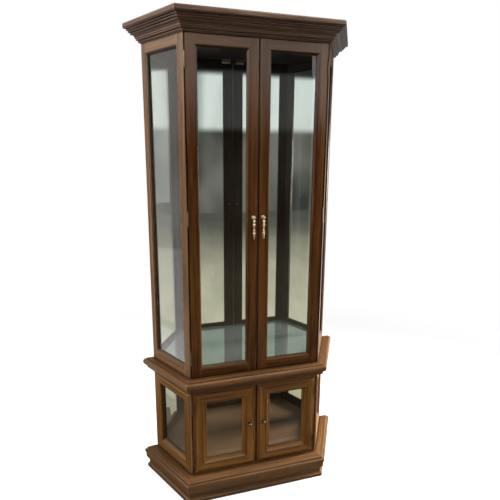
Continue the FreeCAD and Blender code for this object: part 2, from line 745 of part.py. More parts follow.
def pull_drop():
    """Turned pendant with a flat eye at its top, hanging from the pivot."""
    profile = [(0.0, -DROP_START)]
    for radius, depth, *roundness in DROP_TURNINGS:
        profile.append((radius, -depth, *roundness))
    profile.append((DROP_TIP_RADIUS, -DROP_LENGTH + DROP_TIP_RADIUS))
    profile.append((0.0, -DROP_LENGTH, QUARTER_BULGE))
    drop = upright(turned(profile))
    half = TONGUE_THICK / 2.0
    eye = Part.makeCylinder(TONGUE_RADIUS, TONGUE_THICK, V(-half, 0, 0), V(1, 0, 0))
    shank = box(-half, half, -half, half, -DROP_START - half, 0.0)
    hole = Part.makeCylinder(PIVOT_PIN_RADIUS + PIN_PLAY, TONGUE_THICK, V(-half, 0, 0), V(1, 0, 0))
    return one_solid(drop.fuse(eye.fuse(shank).cut(hole)))


def knob():
    """Turned knob on a round plate, standing out from the plane of its plate's back."""
    plate = turned([
        (0.0, 0.0),
        (0.0, -KNOB_PLATE_THICK),
        (KNOB_PLATE_RADIUS - KNOB_PLATE_THICK, -KNOB_PLATE_THICK),
        (KNOB_PLATE_RADIUS, 0.0, -QUARTER_BULGE),
    ])
    shoulder = KNOB_OUT - KNOB_RADIUS
    head = turned([
        (0.0, -KNOB_PLATE_THICK),
        (0.0, -KNOB_OUT),
        (KNOB_RADIUS, -shoulder, -QUARTER_BULGE),
        (KNOB_NECK_RADIUS, -shoulder + KNOB_NECK_RADIUS, -QUARTER_BULGE),
        (KNOB_NECK_RADIUS, -KNOB_PLATE_THICK),
    ])
    return [plate, head]


def make_handles():
    """A drop pull in the middle of each upper meeting stile, and a knob square to each lower one."""
    pull_x = DOOR_INNER_X + DOOR_FLAT / 2.0
    pivot = V(pull_x, FACE_Y - PIVOT_OUT, WAIST_TOP + PULL_HEIGHT)
    for piece, shape in (("pull_post", pull_post()), ("pull_drop", pull_drop())):
        shape.translate(pivot)
        export_door("upper", piece, [shape])
    knob_x = DOOR_INNER_X + PANEL_BROAD_END - BROAD_FACE / 2.0
    seat_y = FACE_Y - PANEL_RAISE + PANEL_BROAD_DROP / 2.0
    seat = V(knob_x, seat_y, (BASE_TOP + WAIST_BOTTOM) / 2.0 + KNOB_RISE)
    pieces = knob()
    for piece in pieces:
        piece.rotate(V(0, 0, 0), V(0, 0, 1), BROAD_SLOPE)
        piece.translate(seat)
    export_door("lower", "knob", pieces)


def make_catches():
    """Magnetic catches: under the top board for the upper doors, behind the rail over the lower."""
    inner = DOOR_INNER_X + CATCH_FROM_MEETING
    outer = inner + CATCH_WIDTH
    upper_front = FACE_Y + DOOR_THICK + CATCH_BEHIND_DOOR
    upper_bottom = CORNICE_BOTTOM - CATCH_HEIGHT
    lower_bottom = WAIST_BOTTOM - CATCH_HEIGHT
    lower_top = WAIST_BOTTOM + CATCH_HEIGHT
    upper = box(inner, outer, upper_front, upper_front + CATCH_DEPTH, upper_bottom, CORNICE_BOTTOM)
    lower = box(inner, outer, POST_Y, POST_Y + CATCH_DEPTH, lower_bottom, lower_top)
    export("magnetic_catches", both_sides(upper) + both_sides(lower))


def main():
    """Build and write every node."""
    os.makedirs("parts", exist_ok=True)
    make_mouldings()
    make_base_frame()
    make_boards()
    make_backs()
    slips = make_upper_sides() + make_lower_sides()
    export("side_glass_stops", slips + [mirrored(slip) for slip in slips])
    make_upper_doors()
    make_lower_doors()
    make_hinges()
    make_handles()
    make_catches()


main()
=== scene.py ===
"""Finishes, small hardware, studio and camera for the standing display cabinet."""
import logging
import math
from dataclasses import dataclass
from enum import Enum
from typing import Dict, Optional, Sequence, Tuple

import bmesh
import bpy
from mathutils import Matrix, Vector


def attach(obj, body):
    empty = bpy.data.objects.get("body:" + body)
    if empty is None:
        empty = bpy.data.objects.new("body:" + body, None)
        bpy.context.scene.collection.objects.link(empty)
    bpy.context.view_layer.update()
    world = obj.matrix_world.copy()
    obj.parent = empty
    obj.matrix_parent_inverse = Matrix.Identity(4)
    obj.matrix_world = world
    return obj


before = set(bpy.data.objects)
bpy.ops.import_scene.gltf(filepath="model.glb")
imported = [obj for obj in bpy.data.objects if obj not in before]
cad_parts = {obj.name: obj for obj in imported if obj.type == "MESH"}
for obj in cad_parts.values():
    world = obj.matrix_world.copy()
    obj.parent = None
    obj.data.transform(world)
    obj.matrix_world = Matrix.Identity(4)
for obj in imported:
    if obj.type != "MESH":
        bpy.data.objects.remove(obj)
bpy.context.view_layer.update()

LOG = logging.getLogger("cabinet")

Colour = Tuple[float, float, float]
Place = Tuple[float, float, float]
Span = Tuple[float, float]
Socket = bpy.types.NodeSocket

WHITE: Colour = (1.0, 1.0, 1.0)
NUMBER = "NodeSocketFloat"
VECTOR = "NodeSocketVector"

# The case as the finishes follow it, in metres: the plane of its face, the corner where a canted
# side starts, that side's angle to the face, and its depth and length
FACE_Y = -0.0935
CORNER_X = 0.289
CANT = math.radians(61.0)
SIDE_DEPTH = 0.247
SIDE_LENGTH = SIDE_DEPTH / math.sin(CANT)


class Hand(Enum):
    """A side of the cabinet, with its sign along X."""

    LEFT = -1.0
    RIGHT = 1.0

    @property
    def label(self) -> str:
        """The side's name as the nodes spell it."""
        return self.name.lower()


class GrainRun(Enum):
    """Which way the grain of a piece of wood runs."""

    UPRIGHT = "upright"
    ACROSS = "across"
    LEFT_CANT = "left_cant"
    RIGHT_CANT = "right_cant"
    COPED_SIDE = "coped_side"
    PLAIN_SIDE = "plain_side"
    MITRED_SIDE = "mitred_side"


# Turns that bring the grain of a straight piece along the first axis
GRAIN_TURN = {
    GrainRun.UPRIGHT: (0.0, math.pi / 2.0, 0.0),
    GrainRun.ACROSS: (0.0, 0.0, 0.0),
    GrainRun.LEFT_CANT: (0.0, 0.0, CANT),
    GrainRun.RIGHT_CANT: (0.0, 0.0, -CANT),
}


class MixKind(Enum):
    """What a Mix node mixes, with the places of its factor and two inputs, and of its output."""

    COLOUR = ("RGBA", (0, 6, 7), 2)
    VECTOR = ("VECTOR", (0, 4, 5), 1)


@dataclass(frozen=True)
class Noise:
    """A layer of noise.

    Attributes:
        stretch: Repeats per metre along each axis.
        detail: Octaves.
        roughness: Weight of the finer octaves.
    """

    stretch: Tuple[float, float, float]
    detail: float = 2.0
    roughness: float = 0.5


class Wiring:
    """A node tree with short calls for the nodes that the finishes use.

    Attributes:
        hollow_samples: Rays that look for hollows and edges at each point.
    """

    hollow_samples: int = 6

    def __init__(self, tree: bpy.types.NodeTree) -> None:
        """Keep the tree that the calls add to.

        Args:
            tree: The node tree of a material, a group or the world.
        """
        self.tree = tree

    def feed(self, target: Socket, value: object) -> None:
        """Set an input to a value, or link it where the value is a socket.

        Args:
            target: The input.
            value: A socket, a number, a vector, or a colour without its alpha.
        """
        if isinstance(value, bpy.types.NodeSocket):
            self.tree.links.new(value, target)
        elif target.type == "RGBA":
            target.default_value = (*value, 1.0)
        else:
            target.default_value = value

    def fill(self, node: bpy.types.Node, **values: object) -> None:
        """Feed a node's inputs by name.

        Args:
            node: The node.
            values: Input names, with underscores for spaces, to a value or a socket.
        """
        for name, value in values.items():
            self.feed(node.inputs[name.replace("_", " ")], value)

    def node(self, kind: str, **values: object) -> bpy.types.Node:
        """Add a node and feed its inputs.

        Args:
            kind: The node's type name.
            values: Input names, with underscores for spaces, to a value or a socket.

        Returns:
            The new node.
        """
        made = self.tree.nodes.new(kind)
        self.fill(made, **values)
        return made

    def group(self, tree: bpy.types.NodeTree, **values: object) -> bpy.types.bpy_prop_collection:
        """Place a shared group and feed its inputs.

        Args:
            tree: The group's tree.
            values: Input names, with underscores for spaces, to a value or a socket.

        Returns:
            The group's outputs.
        """
        made = self.tree.nodes.new("ShaderNodeGroup")
        made.node_tree = tree
        self.fill(made, **values)
        return made.outputs

    def apart(self, vector: Socket) -> bpy.types.bpy_prop_collection:
        """Take a vector apart into X, Y and Z."""
        return self.node("ShaderNodeSeparateXYZ", Vector=vector).outputs

    def calc(self, operation: str, first: object, second: object = 0.0,
             clamp: bool = False) -> Socket:
        """Combine one or two numbers.

        Args:
            operation: The Math node's operation.
            first: A number or a socket.
            second: A number or a socket.
            clamp: Whether the result stays between 0 and 1.

        Returns:
            The result's socket.
        """
        made = self.tree.nodes.new("ShaderNodeMath")
        made.operation = operation
        made.use_clamp = clamp
        self.feed(made.inputs[0], first)
        self.feed(made.inputs[1], second)
        return made.outputs[0]

    def scaled(self, value: object, share: object) -> Socket:
        """Multiply two numbers or sockets."""
        return self.calc("MULTIPLY", value, share)

    def raised(self, start: object, mask: Socket, share: float) -> Socket:
        """Add a share of a mask to a number or a socket."""
        return self.calc("ADD", start, self.scaled(mask, share))

    def band(self, value: Socket, span: Span) -> Socket:
        """Smooth step of a number over a span.

        Args:
            value: The number's socket.
            span: Where the step is 0 and where it is 1.

        Returns:
            The step's socket.
        """
        made = self.node("ShaderNodeMapRange", Value=value, From_Min=span[0], From_Max=span[1])
        made.interpolation_type = "SMOOTHSTEP"
        return made.outputs["Result"]

    def mix(self, kind: MixKind, factor: object, first: object, second: object,
            mode: str = "MIX") -> Socket:
        """Mix two colours or vectors.

        Args:
            kind: Which of the two they are.
            factor: Share of the second.
            first: A value or a socket.
            second: A value or a socket.
            mode: The Mix node's blend type, for colours.

        Returns:
            The mixed value's socket.
        """
        data_type, places, result = kind.value
        made = self.tree.nodes.new("ShaderNodeMix")
        made.data_type = data_type
        made.blend_type = mode
        for index, value in zip(places, (factor, first, second)):
            self.feed(made.inputs[index], value)
        return made.outputs[result]

    def blend(self, factor: object, first: object, second: object, mode: str = "MIX") -> Socket:
        """Mix two colours, by the share of the second."""
        return self.mix(MixKind.COLOUR, factor, first, second, mode)

    def noise(self, vector: Socket, layer: Noise) -> Socket:
        """Noise over stretched coordinates.

        Args:
            vector: Coordinates in metres.
            layer: The noise.

        Returns:
            The noise's value socket.
        """
        mapped = self.node("ShaderNodeMapping", Vector=vector, Scale=layer.stretch)
        made = self.node("ShaderNodeTexNoise", Vector=mapped.outputs[0], Scale=1.0,
                         Detail=layer.detail, Roughness=layer.roughness)
        return made.outputs[0]

    def hollow(self, distance: object, edge: bool = False) -> Socket:
        """Mark where the surface is closed in.

        Args:
            distance: How far away it looks for what closes it in.
            edge: Whether it looks into the piece itself, which marks the piece's edges.

        Returns:
            The mark's socket, 0 in the open.
        """
        made = self.node("ShaderNodeAmbientOcclusion", Distance=distance)
        made.samples = self.hollow_samples
        made.only_local = edge
        made.inside = edge
        return self.calc("SUBTRACT", 1.0, made.outputs["AO"])

    def bump(self, height: Socket, strength: float, distance: float) -> Socket:
        """Make a normal of a height.

        Args:
            height: The height's socket.
            strength: Share of the bump that shows.
            distance: What a height of 1 stands for, in metres.

        Returns:
            The normal's socket.
        """
        made = self.node("ShaderNodeBump", Strength=strength, Distance=distance, Height=height)
        return made.outputs[0]


def new_group(name: str, inputs: Dict[str, Optional[float]], outputs: Dict[str, str]
              ) -> Tuple[Wiring, bpy.types.bpy_prop_collection, bpy.types.Node]:
    """Start a shader node group with named sockets.

    Args:
        name: The group's name.
        inputs: Socket name to its default number, or to None for a vector.
        outputs: Socket name to its type.

    Returns:
        The group's wiring, what it is given, and its output node.
    """
    tree = bpy.data.node_groups.new(name, "ShaderNodeTree")
    for label, default in inputs.items():
        kind = VECTOR if default is None else NUMBER
        made = tree.interface.new_socket(name=label, in_out="INPUT", socket_type=kind)
        if default is not None:
            made.default_value = default
    for label, kind in outputs.items():
        tree.interface.new_socket(name=label, in_out="OUTPUT", socket_type=kind)
    given, out = tree.nodes.new("NodeGroupInput"), tree.nodes.new("NodeGroupOutput")
    return Wiring(tree), given.outputs, out


@dataclass(frozen=True)
class Figure:
    """Grain of stained hardwood along the first axis: tone, open pores and relief."""

    wander: Noise = Noise((1.6, 7.0, 7.0))
    sway: Span = (0.05, 0.03)
    broad: Noise = Noise((1.4, 34.0, 34.0), 3.0, 0.55)
    rings: Noise = Noise((2.2, 150.0, 150.0), 2.0, 0.6)
    fibre: Noise = Noise((14.0, 900.0, 900.0), 2.0, 0.6)
    dashes: Noise = Noise((38.0, 1500.0, 1500.0), 1.0)
    broad_share: float = 0.38
    ring_share: float = 0.40
    fibre_share: float = 0.22
    tone: Span = (0.39, 0.62)
    pore_dashes: Span = (0.58, 0.70)
    pore_rings: Span = (0.42, 0.62)
    fibre_relief: float = 0.3

    def build(self) -> bpy.types.NodeTree:
        """Make the group.

        Returns:
            The group's tree.
        """
        pad, given, out = new_group(
            "wood_figure", {"Vector": None}, {"Tone": NUMBER, "Pores": NUMBER, "Relief": NUMBER})
        wander = pad.noise(given["Vector"], self.wander)
        sway = pad.node("ShaderNodeCombineXYZ", Y=pad.scaled(wander, self.sway[0]),
                        Z=pad.scaled(wander, self.sway[1]))
        bent = pad.node("ShaderNodeVectorMath", Vector=given["Vector"])
        bent.operation = "ADD"
        pad.feed(bent.inputs[1], sway.outputs[0])
        broad, rings, fibre, dashes = (
            pad.noise(bent.outputs[0], layer)
            for layer in (self.broad, self.rings, self.fibre, self.dashes))
        tone = pad.raised(pad.scaled(broad, self.broad_share), rings, self.ring_share)
        tone = pad.raised(tone, fibre, self.fibre_share)
        pores = pad.scaled(pad.band(dashes, self.pore_dashes), pad.band(rings, self.pore_rings))
        relief = pad.calc("SUBTRACT", pad.scaled(fibre, self.fibre_relief), pores)
        pad.fill(out, Tone=pad.band(tone, self.tone), Pores=pores, Relief=relief)
        return pad.tree


@dataclass(frozen=True)
class Glaze:
    """Dark glazing and painted shade in hollows and joints; paler rubbed edges and painted
    highlight.
    """

    reach: float = 0.008
    hollow: Span = (0.08, 0.55)
    patch: Noise = Noise((9.0, 9.0, 9.0), 3.0, 0.6)
    least_glaze_and_shade: float = 0.65
    patch_glaze_and_shade: float = 0.7
    edge_reach: float = 0.0035
    edge: Span = (0.2, 0.65)
    rub_and_highlight_patch: Span = (0.38, 0.7)
    least_rub_and_highlight: float = 0.4
    patch_rub_and_highlight: float = 0.6

    def build(self) -> bpy.types.NodeTree:
        """Make the group.

        Returns:
            The group's tree.
        """
        pad, given, out = new_group("glaze_shade_and_rub_highlight", {"Vector": None, "Reach": self.reach},
                                    {"Glaze": NUMBER, "Rub": NUMBER})
        patch = pad.noise(given["Vector"], self.patch)
        # Glazing and painted shade: darker where the surface is closed in, by its own piece or by a
        # neighbour, as shade falls there
        spread = pad.raised(self.least_glaze_and_shade, patch, self.patch_glaze_and_shade)
        closed = pad.band(pad.hollow(given["Reach"]), self.hollow)
        # Rubbed edges and painted highlight: paler along the piece's edges, where the lacquer would
        # catch the lamps
        worn = pad.raised(self.least_rub_and_highlight, pad.band(patch, self.rub_and_highlight_patch), self.patch_rub_and_highlight)
        rim = pad.band(pad.hollow(self.edge_reach, edge=True), self.edge)
        pad.fill(out, Glaze=pad.calc("MULTIPLY", closed, spread, clamp=True),
                 Rub=pad.scaled(rim, worn))
        return pad.tree


@dataclass(frozen=True)
class Tarnish:
    """Handled metal: tarnish in hollows and patches, and a roughness that follows it."""

    polish: float = 0.2
    reach: float = 0.005
    hollow: Span = (0.1, 0.6)
    patch: Noise = Noise((260.0, 260.0, 260.0), 3.0, 0.6)
    patch_span: Span = (0.45, 0.75)
    patch_share: float = 0.4
    dulling: float = 0.25

    def build(self) -> bpy.types.NodeTree:
        """Make the group.

        Returns:
            The group's tree.
        """
        pad, given, out = new_group("tarnish", {"Vector": None, "Polish": self.polish},
                                    {"Dark": NUMBER, "Roughness": NUMBER})
        closed = pad.band(pad.hollow(self.reach), self.hollow)
        patch = pad.band(pad.noise(given["Vector"], self.patch), self.patch_span)
        dark = pad.calc("ADD", closed, pad.scaled(patch, self.patch_share), clamp=True)
        pad.fill(out, Dark=dark, Roughness=pad.raised(given["Polish"], dark, self.dulling))
        return pad.tree


@dataclass(frozen=True)
class Smears:
    """Faint wipe marks on a smooth sheet."""

    amount: float = 0.05
    wipe: Noise = Noise((7.0, 7.0, 2.4), 3.0, 0.6)
    wipe_span: Span = (0.42, 0.8)

    def build(self) -> bpy.types.NodeTree:
        """Make the group.

        Returns:
            The group's tree.
        """
        pad, given, out = new_group("smears", {"Vector": None, "Amount": self.amount},
                                    {"Haze": NUMBER})
        wipe = pad.band(pad.noise(given["Vector"], self.wipe), self.wipe_span)
        pad.fill(out, Haze=pad.scaled(wipe, given["Amount"]))
        return pad.tree


@dataclass(frozen=True)
class SideGrain:
    """Grain coordinates of a canted frame, whose stiles run up and whose rails run along it.

    Attributes:
        name: The group's name.
        flats: Widths of the front and the back stile where the corners are butted, in metres, or
            None where they are mitred.
    """

    name: str
    flats: Optional[Span] = None

    def build(self) -> bpy.types.NodeTree:
        """Make the group.

        Returns:
            The group's tree, which also puts out the depth behind the frame's face.
        """
        pad, given, out = new_group(self.name, {"Vector": None, "Bottom": 0.0, "Top": 1.0},
                                    {"Vector": VECTOR, "Inward": NUMBER})
        place = pad.apart(given["Vector"])
        level = place["Z"]
        across = pad.calc("SUBTRACT", pad.calc("ABSOLUTE", place["X"]), CORNER_X)
        depth = pad.calc("SUBTRACT", place["Y"], FACE_Y)
        along = pad.raised(pad.scaled(across, math.cos(CANT)), depth, math.sin(CANT))
        inward = pad.calc("SUBTRACT", pad.scaled(depth, math.cos(CANT)),
                          pad.scaled(across, math.sin(CANT)))
        to_back = pad.calc("SUBTRACT", SIDE_LENGTH, along)
        if self.flats is None:
            to_end = pad.calc("MINIMUM", along, to_back)
            to_edge = pad.calc("MINIMUM", pad.calc("SUBTRACT", level, given["Bottom"]),
                               pad.calc("SUBTRACT", given["Top"], level))
            is_rail = pad.calc("LESS_THAN", to_edge, to_end)
        else:
            is_rail = pad.scaled(pad.calc("GREATER_THAN", along, self.flats[0]),
                                 pad.calc("GREATER_THAN", to_back, self.flats[1]))
        hand = pad.calc("SIGN", place["X"])
        stile = pad.node("ShaderNodeCombineXYZ", X=level, Y=along,
                         Z=pad.calc("ADD", inward, hand))
        rail = pad.node("ShaderNodeCombineXYZ", X=along, Y=level,
                        Z=pad.calc("SUBTRACT", inward, hand))
        grain = pad.mix(MixKind.VECTOR, is_rail, stile.outputs[0], rail.outputs[0])
        pad.fill(out, Vector=grain, Inward=inward)
        return pad.tree


class Effects:
    """The shared surface effects, each a node group built once."""

    def __init__(self) -> None:
        """Build every group."""
        self.figure = Figure().build()
        self.glaze = Glaze().build()
        self.tarnish = Tarnish().build()
        self.smears = Smears().build()
        self.side_grain = {
            GrainRun.COPED_SIDE: SideGrain("side_grain_butted_38", (0.038, 0.028)).build(),
            GrainRun.PLAIN_SIDE: SideGrain("side_grain_butted_30", (0.030, 0.030)).build(),
            GrainRun.MITRED_SIDE: SideGrain("side_grain_mitred").build(),
        }


class Surface:
    """A material in the making, with one shader on object coordinates."""

    def __init__(self, name: str, shader: str = "ShaderNodeBsdfPrincipled") -> None:
        """Start the material.

        Args:
            name: The material's name.
            shader: The shader node's type name.
        """
        self.material = bpy.data.materials.new(name)
        self.material.use_nodes = True
        self.material.node_tree.nodes.clear()
        self.pad = Wiring(self.material.node_tree)
        self.shader = self.pad.node(shader)
        self.out = self.pad.node("ShaderNodeOutputMaterial", Surface=self.shader.outputs[0])
        self.out.is_active_output = True
        self.place = self.pad.node("ShaderNodeTexCoord").outputs["Object"]

    def give(self, **values: object) -> None:
        """Set or link the shader's inputs, named with underscores for spaces."""
        self.pad.fill(self.shader, **values)

    def cover(self, share: Socket, shader: bpy.types.Node) -> None:
        """Mix a second shader over the first.

        Args:
            share: Share of the second shader.
            shader: The second shader's node.
        """
        mixed = self.pad.node("ShaderNodeMixShader")
        for index, value in enumerate((share, self.shader.outputs[0], shader.outputs[0])):
            self.pad.feed(mixed.inputs[index], value)
        self.pad.fill(self.out, Surface=mixed.outputs[0])


@dataclass(frozen=True)
class WoodLook:
    """What all the woods share: how the marks on them lie, in metres and as colours."""

    # How far apart in the log two pieces are cut
    log_step: Place = (1.37, 0.61, 0.29)
    # The colour of pores, of glazing and painted shade in hollows, joints and undersides, to the
    # dark stained colour, and of rubbed edges with their painted highlight to the light one
    deep_share: float = 0.2
    pale_gain: float = 2.2
    pale_lift: float = 0.012
    pore_stain: float = 0.55
    # Slopes of the surface's normal over which it becomes an underside, which painted shade
    # darkens, and over which it becomes a ledge, which a dusty film and a painted sheen lighten
    underside: Span = (-0.02, -0.3)
    ledge: Span = (0.03, 0.25)
    # A pale film that grows towards the top of the cabinet, a painted reflection, and the colour
    # that gathers on ledges, partly a dusty film and partly a painted sheen
    top_sheen: Colour = (0.29, 0.265, 0.24)
    top_sheen_levels: Span = (1.5, 1.93)
    settled_dust_and_sheen: Colour = (0.40, 0.27, 0.15)
    # Depths over which a shut door and a side frame turn to the painted shade of their inner side
    door_inner_shade: Span = (-0.0765, -0.0742)
    frame_inner_shade: Span = (0.0185, 0.0210)
    # Distances of a shut door's two upright edges from the middle, and how far in from them the
    # painted shade of the gap lies
    door_edges: Span = (0.0020, 0.2839)
    door_edge_shade: Span = (0.0030, 0.0006)
    # Where a side frame's painted shade of gaps lies: at its front corner, and on the moulded edge
    # round its glass
    corner_shade: Span = (CORNER_X + 0.0005, CORNER_X - 0.0008)
    sticking_shade: Span = (0.0010, 0.0030)
    # Lacquer and relief
    pore_rough: float = 0.18
    glaze_rough: float = 0.15
    specular: float = 0.07
    specular_tint: Colour = (1.0, 0.74, 0.46)
    coat_rough: float = 0.13
    bump: Span = (0.12, 0.0004)


WOOD = WoodLook()


@dataclass(frozen=True)
class WoodFinish:
    """A stained and lacquered wood.

    Attributes:
        name: The finish's name.
        dark: The stained colour in the dark of the grain.
        light: The stained colour in the light of it.
        glaze: Strength of the dark glazing and painted shade in hollows and joints.
        rub: Strength of the paler rubbed edges and their painted highlight.
        gloss: Roughness of the surface.
        coat: Weight of the lacquer.
        top_sheen: Strength of the painted reflection, a pale film near the top of the cabinet.
        inside: Tone of the inner side to that of the outer, a painted shade.
        under_shade: Strength of the painted shade on undersides.
        seam_shade: Strength of the painted shade in the gaps along seams.
        reach: How far the glazing and painted shade reach out of a hollow, in metres.
        settled_dust_and_sheen: Strength of the colour on ledges, partly a dusty film and partly a
            painted sheen.
    """

    name: str
    dark: Colour
    light: Colour
    glaze: float = 0.75
    rub: float = 0.35
    gloss: float = 0.34
    coat: float = 0.08
    top_sheen: float = 0.08
    inside: float = 1.0
    under_shade: float = 0.6
    seam_shade: float = 0.0
    reach: float = 0.008
    settled_dust_and_sheen: float = 0.09

    def material(self, effects: Effects, run: GrainRun, seed: int,
                 span: Span = (0.0, 1.0)) -> bpy.types.Material:
        """Make the finish for one piece.

        Args:
            effects: The shared groups.
            run: Which way the grain runs.
            seed: Sets where in the log the piece was cut.
            span: Bottom and top of a mitred frame, in metres.

        Returns:
            The material.
        """
        made = Surface("%s_%s_%02d" % (self.name, run.value, seed))
        pad = made.pad
        cut = tuple(step * seed for step in WOOD.log_step)
        inward = None
        if run in GRAIN_TURN:
            grain = pad.node("ShaderNodeMapping", Vector=made.place, Location=cut,
                             Rotation=GRAIN_TURN[run])
        else:
            side = pad.group(effects.side_grain[run], Vector=made.place, Bottom=span[0],
                             Top=span[1])
            inward = side["Inward"]
            grain = pad.node("ShaderNodeMapping", Vector=side["Vector"], Location=cut)
        figure = pad.group(effects.figure, Vector=grain.outputs[0])
        wear_and_painted_light = pad.group(effects.glaze, Vector=made.place, Reach=self.reach)
        rough = pad.raised(self.gloss, figure["Pores"], WOOD.pore_rough)
        made.give(
            Base_Color=self.stain_and_painted_light(pad, pad.apart(made.place), inward, figure, wear_and_painted_light),
            Roughness=pad.raised(rough, wear_and_painted_light["Glaze"], WOOD.glaze_rough),
            Normal=pad.bump(figure["Relief"], *WOOD.bump),
            Specular_IOR_Level=WOOD.specular,
            Specular_Tint=WOOD.specular_tint,
            Coat_Weight=self.coat,
            Coat_Roughness=WOOD.coat_rough,
        )
        return made.material

    def stain_and_painted_light(self, pad: Wiring, place: bpy.types.bpy_prop_collection, inward: Optional[Socket],
              figure: bpy.types.bpy_prop_collection, wear_and_painted_light: bpy.types.bpy_prop_collection
              ) -> Socket:
        """Lay the stained colour, the glazing, the painted shade, the painted highlight, the
        painted reflection and the dusty film over each other.

        Args:
            pad: The material's wiring.
            place: The piece's object coordinates, taken apart.
            inward: Depth behind a side frame's face, if the piece is one.
            figure: What the grain group puts out.
            wear_and_painted_light: What the group of glazing, painted shade, rubbed edges and
                painted highlight puts out.

        Returns:
            The colour's socket.
        """
        deep = tuple(WOOD.deep_share * part for part in self.dark)
        pale = tuple(min(1.0, WOOD.pale_gain * part + WOOD.pale_lift) for part in self.light)
        slope = pad.apart(pad.node("ShaderNodeNewGeometry").outputs["Normal"])["Z"]
        # Painted shade: faces that look downwards are darkened
        under_shade = pad.band(slope, WOOD.underside)
        open_to_sheen = pad.calc("SUBTRACT", 1.0, pad.calc("MAXIMUM", under_shade, wear_and_painted_light["Glaze"]))
        # Painted reflection: a pale film that grows towards the top of the cabinet, kept off
        # undersides and hollows
        film = pad.scaled(pad.band(place["Z"], WOOD.top_sheen_levels), self.top_sheen)
        layers = [
            (figure["Pores"], WOOD.pore_stain, deep),
            (wear_and_painted_light["Glaze"], self.glaze, deep),
            (under_shade, self.under_shade, deep),
            (wear_and_painted_light["Rub"], self.rub, pale),
        ]
        # Painted shade of the gaps along a door's edges, and at a side frame's corner and round its
        # glass
        if self.seam_shade > 0.0:
            layers.append((self.painted_seam_shade(pad, place["X"], inward), self.seam_shade, deep))
        layers.append((film, open_to_sheen, WOOD.top_sheen))
        # Partly dusty film and partly painted sheen: faces that look upwards are lightened
        if self.settled_dust_and_sheen > 0.0:
            layers.append((pad.band(slope, WOOD.ledge), self.settled_dust_and_sheen, WOOD.settled_dust_and_sheen))
        colour = pad.blend(figure["Tone"], self.dark, self.light)
        for mask, strength, layer in layers:
            colour = pad.blend(pad.scaled(mask, strength), colour, layer)
        # Painted shade: the inner side, away from the lamps, is darkened
        if self.inside < 1.0:
            if inward is None:
                within = pad.band(place["Y"], WOOD.door_inner_shade)
            else:
                within = pad.band(inward, WOOD.frame_inner_shade)
            shade = pad.blend(within, WHITE, (self.inside,) * 3)
            colour = pad.blend(1.0, colour, shade, "MULTIPLY")
        return colour

    @staticmethod
    def painted_seam_shade(pad: Wiring, across: Socket, inward: Optional[Socket]) -> Socket:
        """Mark the seams and gaps that painted shade darkens.

        Args:
            pad: The material's wiring.
            across: The piece's own X.
            inward: Depth behind a side frame's face, if the piece is one.

        Returns:
            The mark's socket.
        """
        off = pad.calc("ABSOLUTE", across)
        if inward is not None:
            return pad.calc("MAXIMUM", pad.band(off, WOOD.corner_shade),
                            pad.band(inward, WOOD.sticking_shade))
        near, far = WOOD.door_edges
        inset = pad.calc("MINIMUM", pad.calc("SUBTRACT", off, near),
                         pad.calc("SUBTRACT", far, off))
        return pad.band(inset, WOOD.door_edge_shade)


@dataclass(frozen=True)
class BrassFinish:
    """Turned or rolled brass, bright or darkened."""

    name: str
    bright: Colour
    dark: Colour
    polish: float

    def material(self, effects: Effects) -> bpy.types.Material:
        """Make the metal.

        Args:
            effects: The shared groups.

        Returns:
            The material.
        """
        made = Surface(self.name)
        aged = made.pad.group(effects.tarnish, Vector=made.place, Polish=self.polish)
        made.give(Base_Color=made.pad.blend(aged["Dark"], self.bright, self.dark),
                  Roughness=aged["Roughness"], Metallic=1.0)
        return made.material


@dataclass(frozen=True)
class GlassFinish:
    """Clear float glass that lets light into the case."""

    name: str
    bend: float = 1.5
    tint: Colour = (0.975, 0.985, 0.965)
    smear: float = 0.015

    def material(self, effects: Effects) -> bpy.types.Material:
        """Make the glass.

        Args:
            effects: The shared groups.

        Returns:
            The material.
        """
        made = Surface(self.name)
        smears = made.pad.group(effects.smears, Vector=made.place, Amount=self.smear)
        made.give(Base_Color=self.tint, Roughness=smears["Haze"], Transmission_Weight=1.0,
                  IOR=self.bend)
        path = made.pad.node("ShaderNodeLightPath").outputs
        passing = made.pad.calc("MAXIMUM", path["Is Shadow Ray"], path["Is Diffuse Ray"])
        made.cover(passing, made.pad.node("ShaderNodeBsdfTransparent", Color=self.tint))
        return made.material


@dataclass(frozen=True)
class MirrorFinish:
    """Silvered glass with a little age, and a dusty film where it lies flat."""

    name: str = "silvered_mirror"
    silver: Colour = (0.80, 0.84, 0.83)
    aged: Colour = (0.66, 0.69, 0.67)
    film: float = 0.0
    smear: float = 1.0
    haze_rough: float = 0.05

    def material(self, effects: Effects) -> bpy.types.Material:
        """Make the mirror.

        Args:
            effects: The shared groups.

        Returns:
            The material.
        """
        made = Surface(self.name)
        haze = made.pad.group(effects.smears, Vector=made.place, Amount=self.smear)["Haze"]
        made.give(Base_Color=made.pad.blend(haze, self.silver, self.aged),
                  Roughness=made.pad.scaled(haze, self.haze_rough), Metallic=1.0 - self.film)
        return made.material


@dataclass(frozen=True)
class PlainFinish:
    """Moulded plastic or plated steel with a mottled surface."""

    name: str
    low: Colour
    high: Colour
    rough: float
    metallic: float = 0.0
    mottle: float = 160.0
    mottle_span: Span = (0.3, 0.7)
    bump: Span = (0.1, 0.0003)
    smear: float = 0.2

    def material(self, effects: Effects) -> bpy.types.Material:
        """Make the finish.

        Args:
            effects: The shared groups.

        Returns:
            The material.
        """
        made = Surface(self.name)
        pad = made.pad
        haze = pad.group(effects.smears, Vector=made.place, Amount=self.smear)["Haze"]
        mottle = pad.noise(made.place, Noise((self.mottle,) * 3, 3.0, 0.6))
        made.give(Base_Color=pad.blend(pad.band(mottle, self.mottle_span), self.low, self.high),
                  Roughness=pad.calc("ADD", self.rough, haze),
                  Normal=pad.bump(mottle, *self.bump), Metallic=self.metallic)
        return made.material


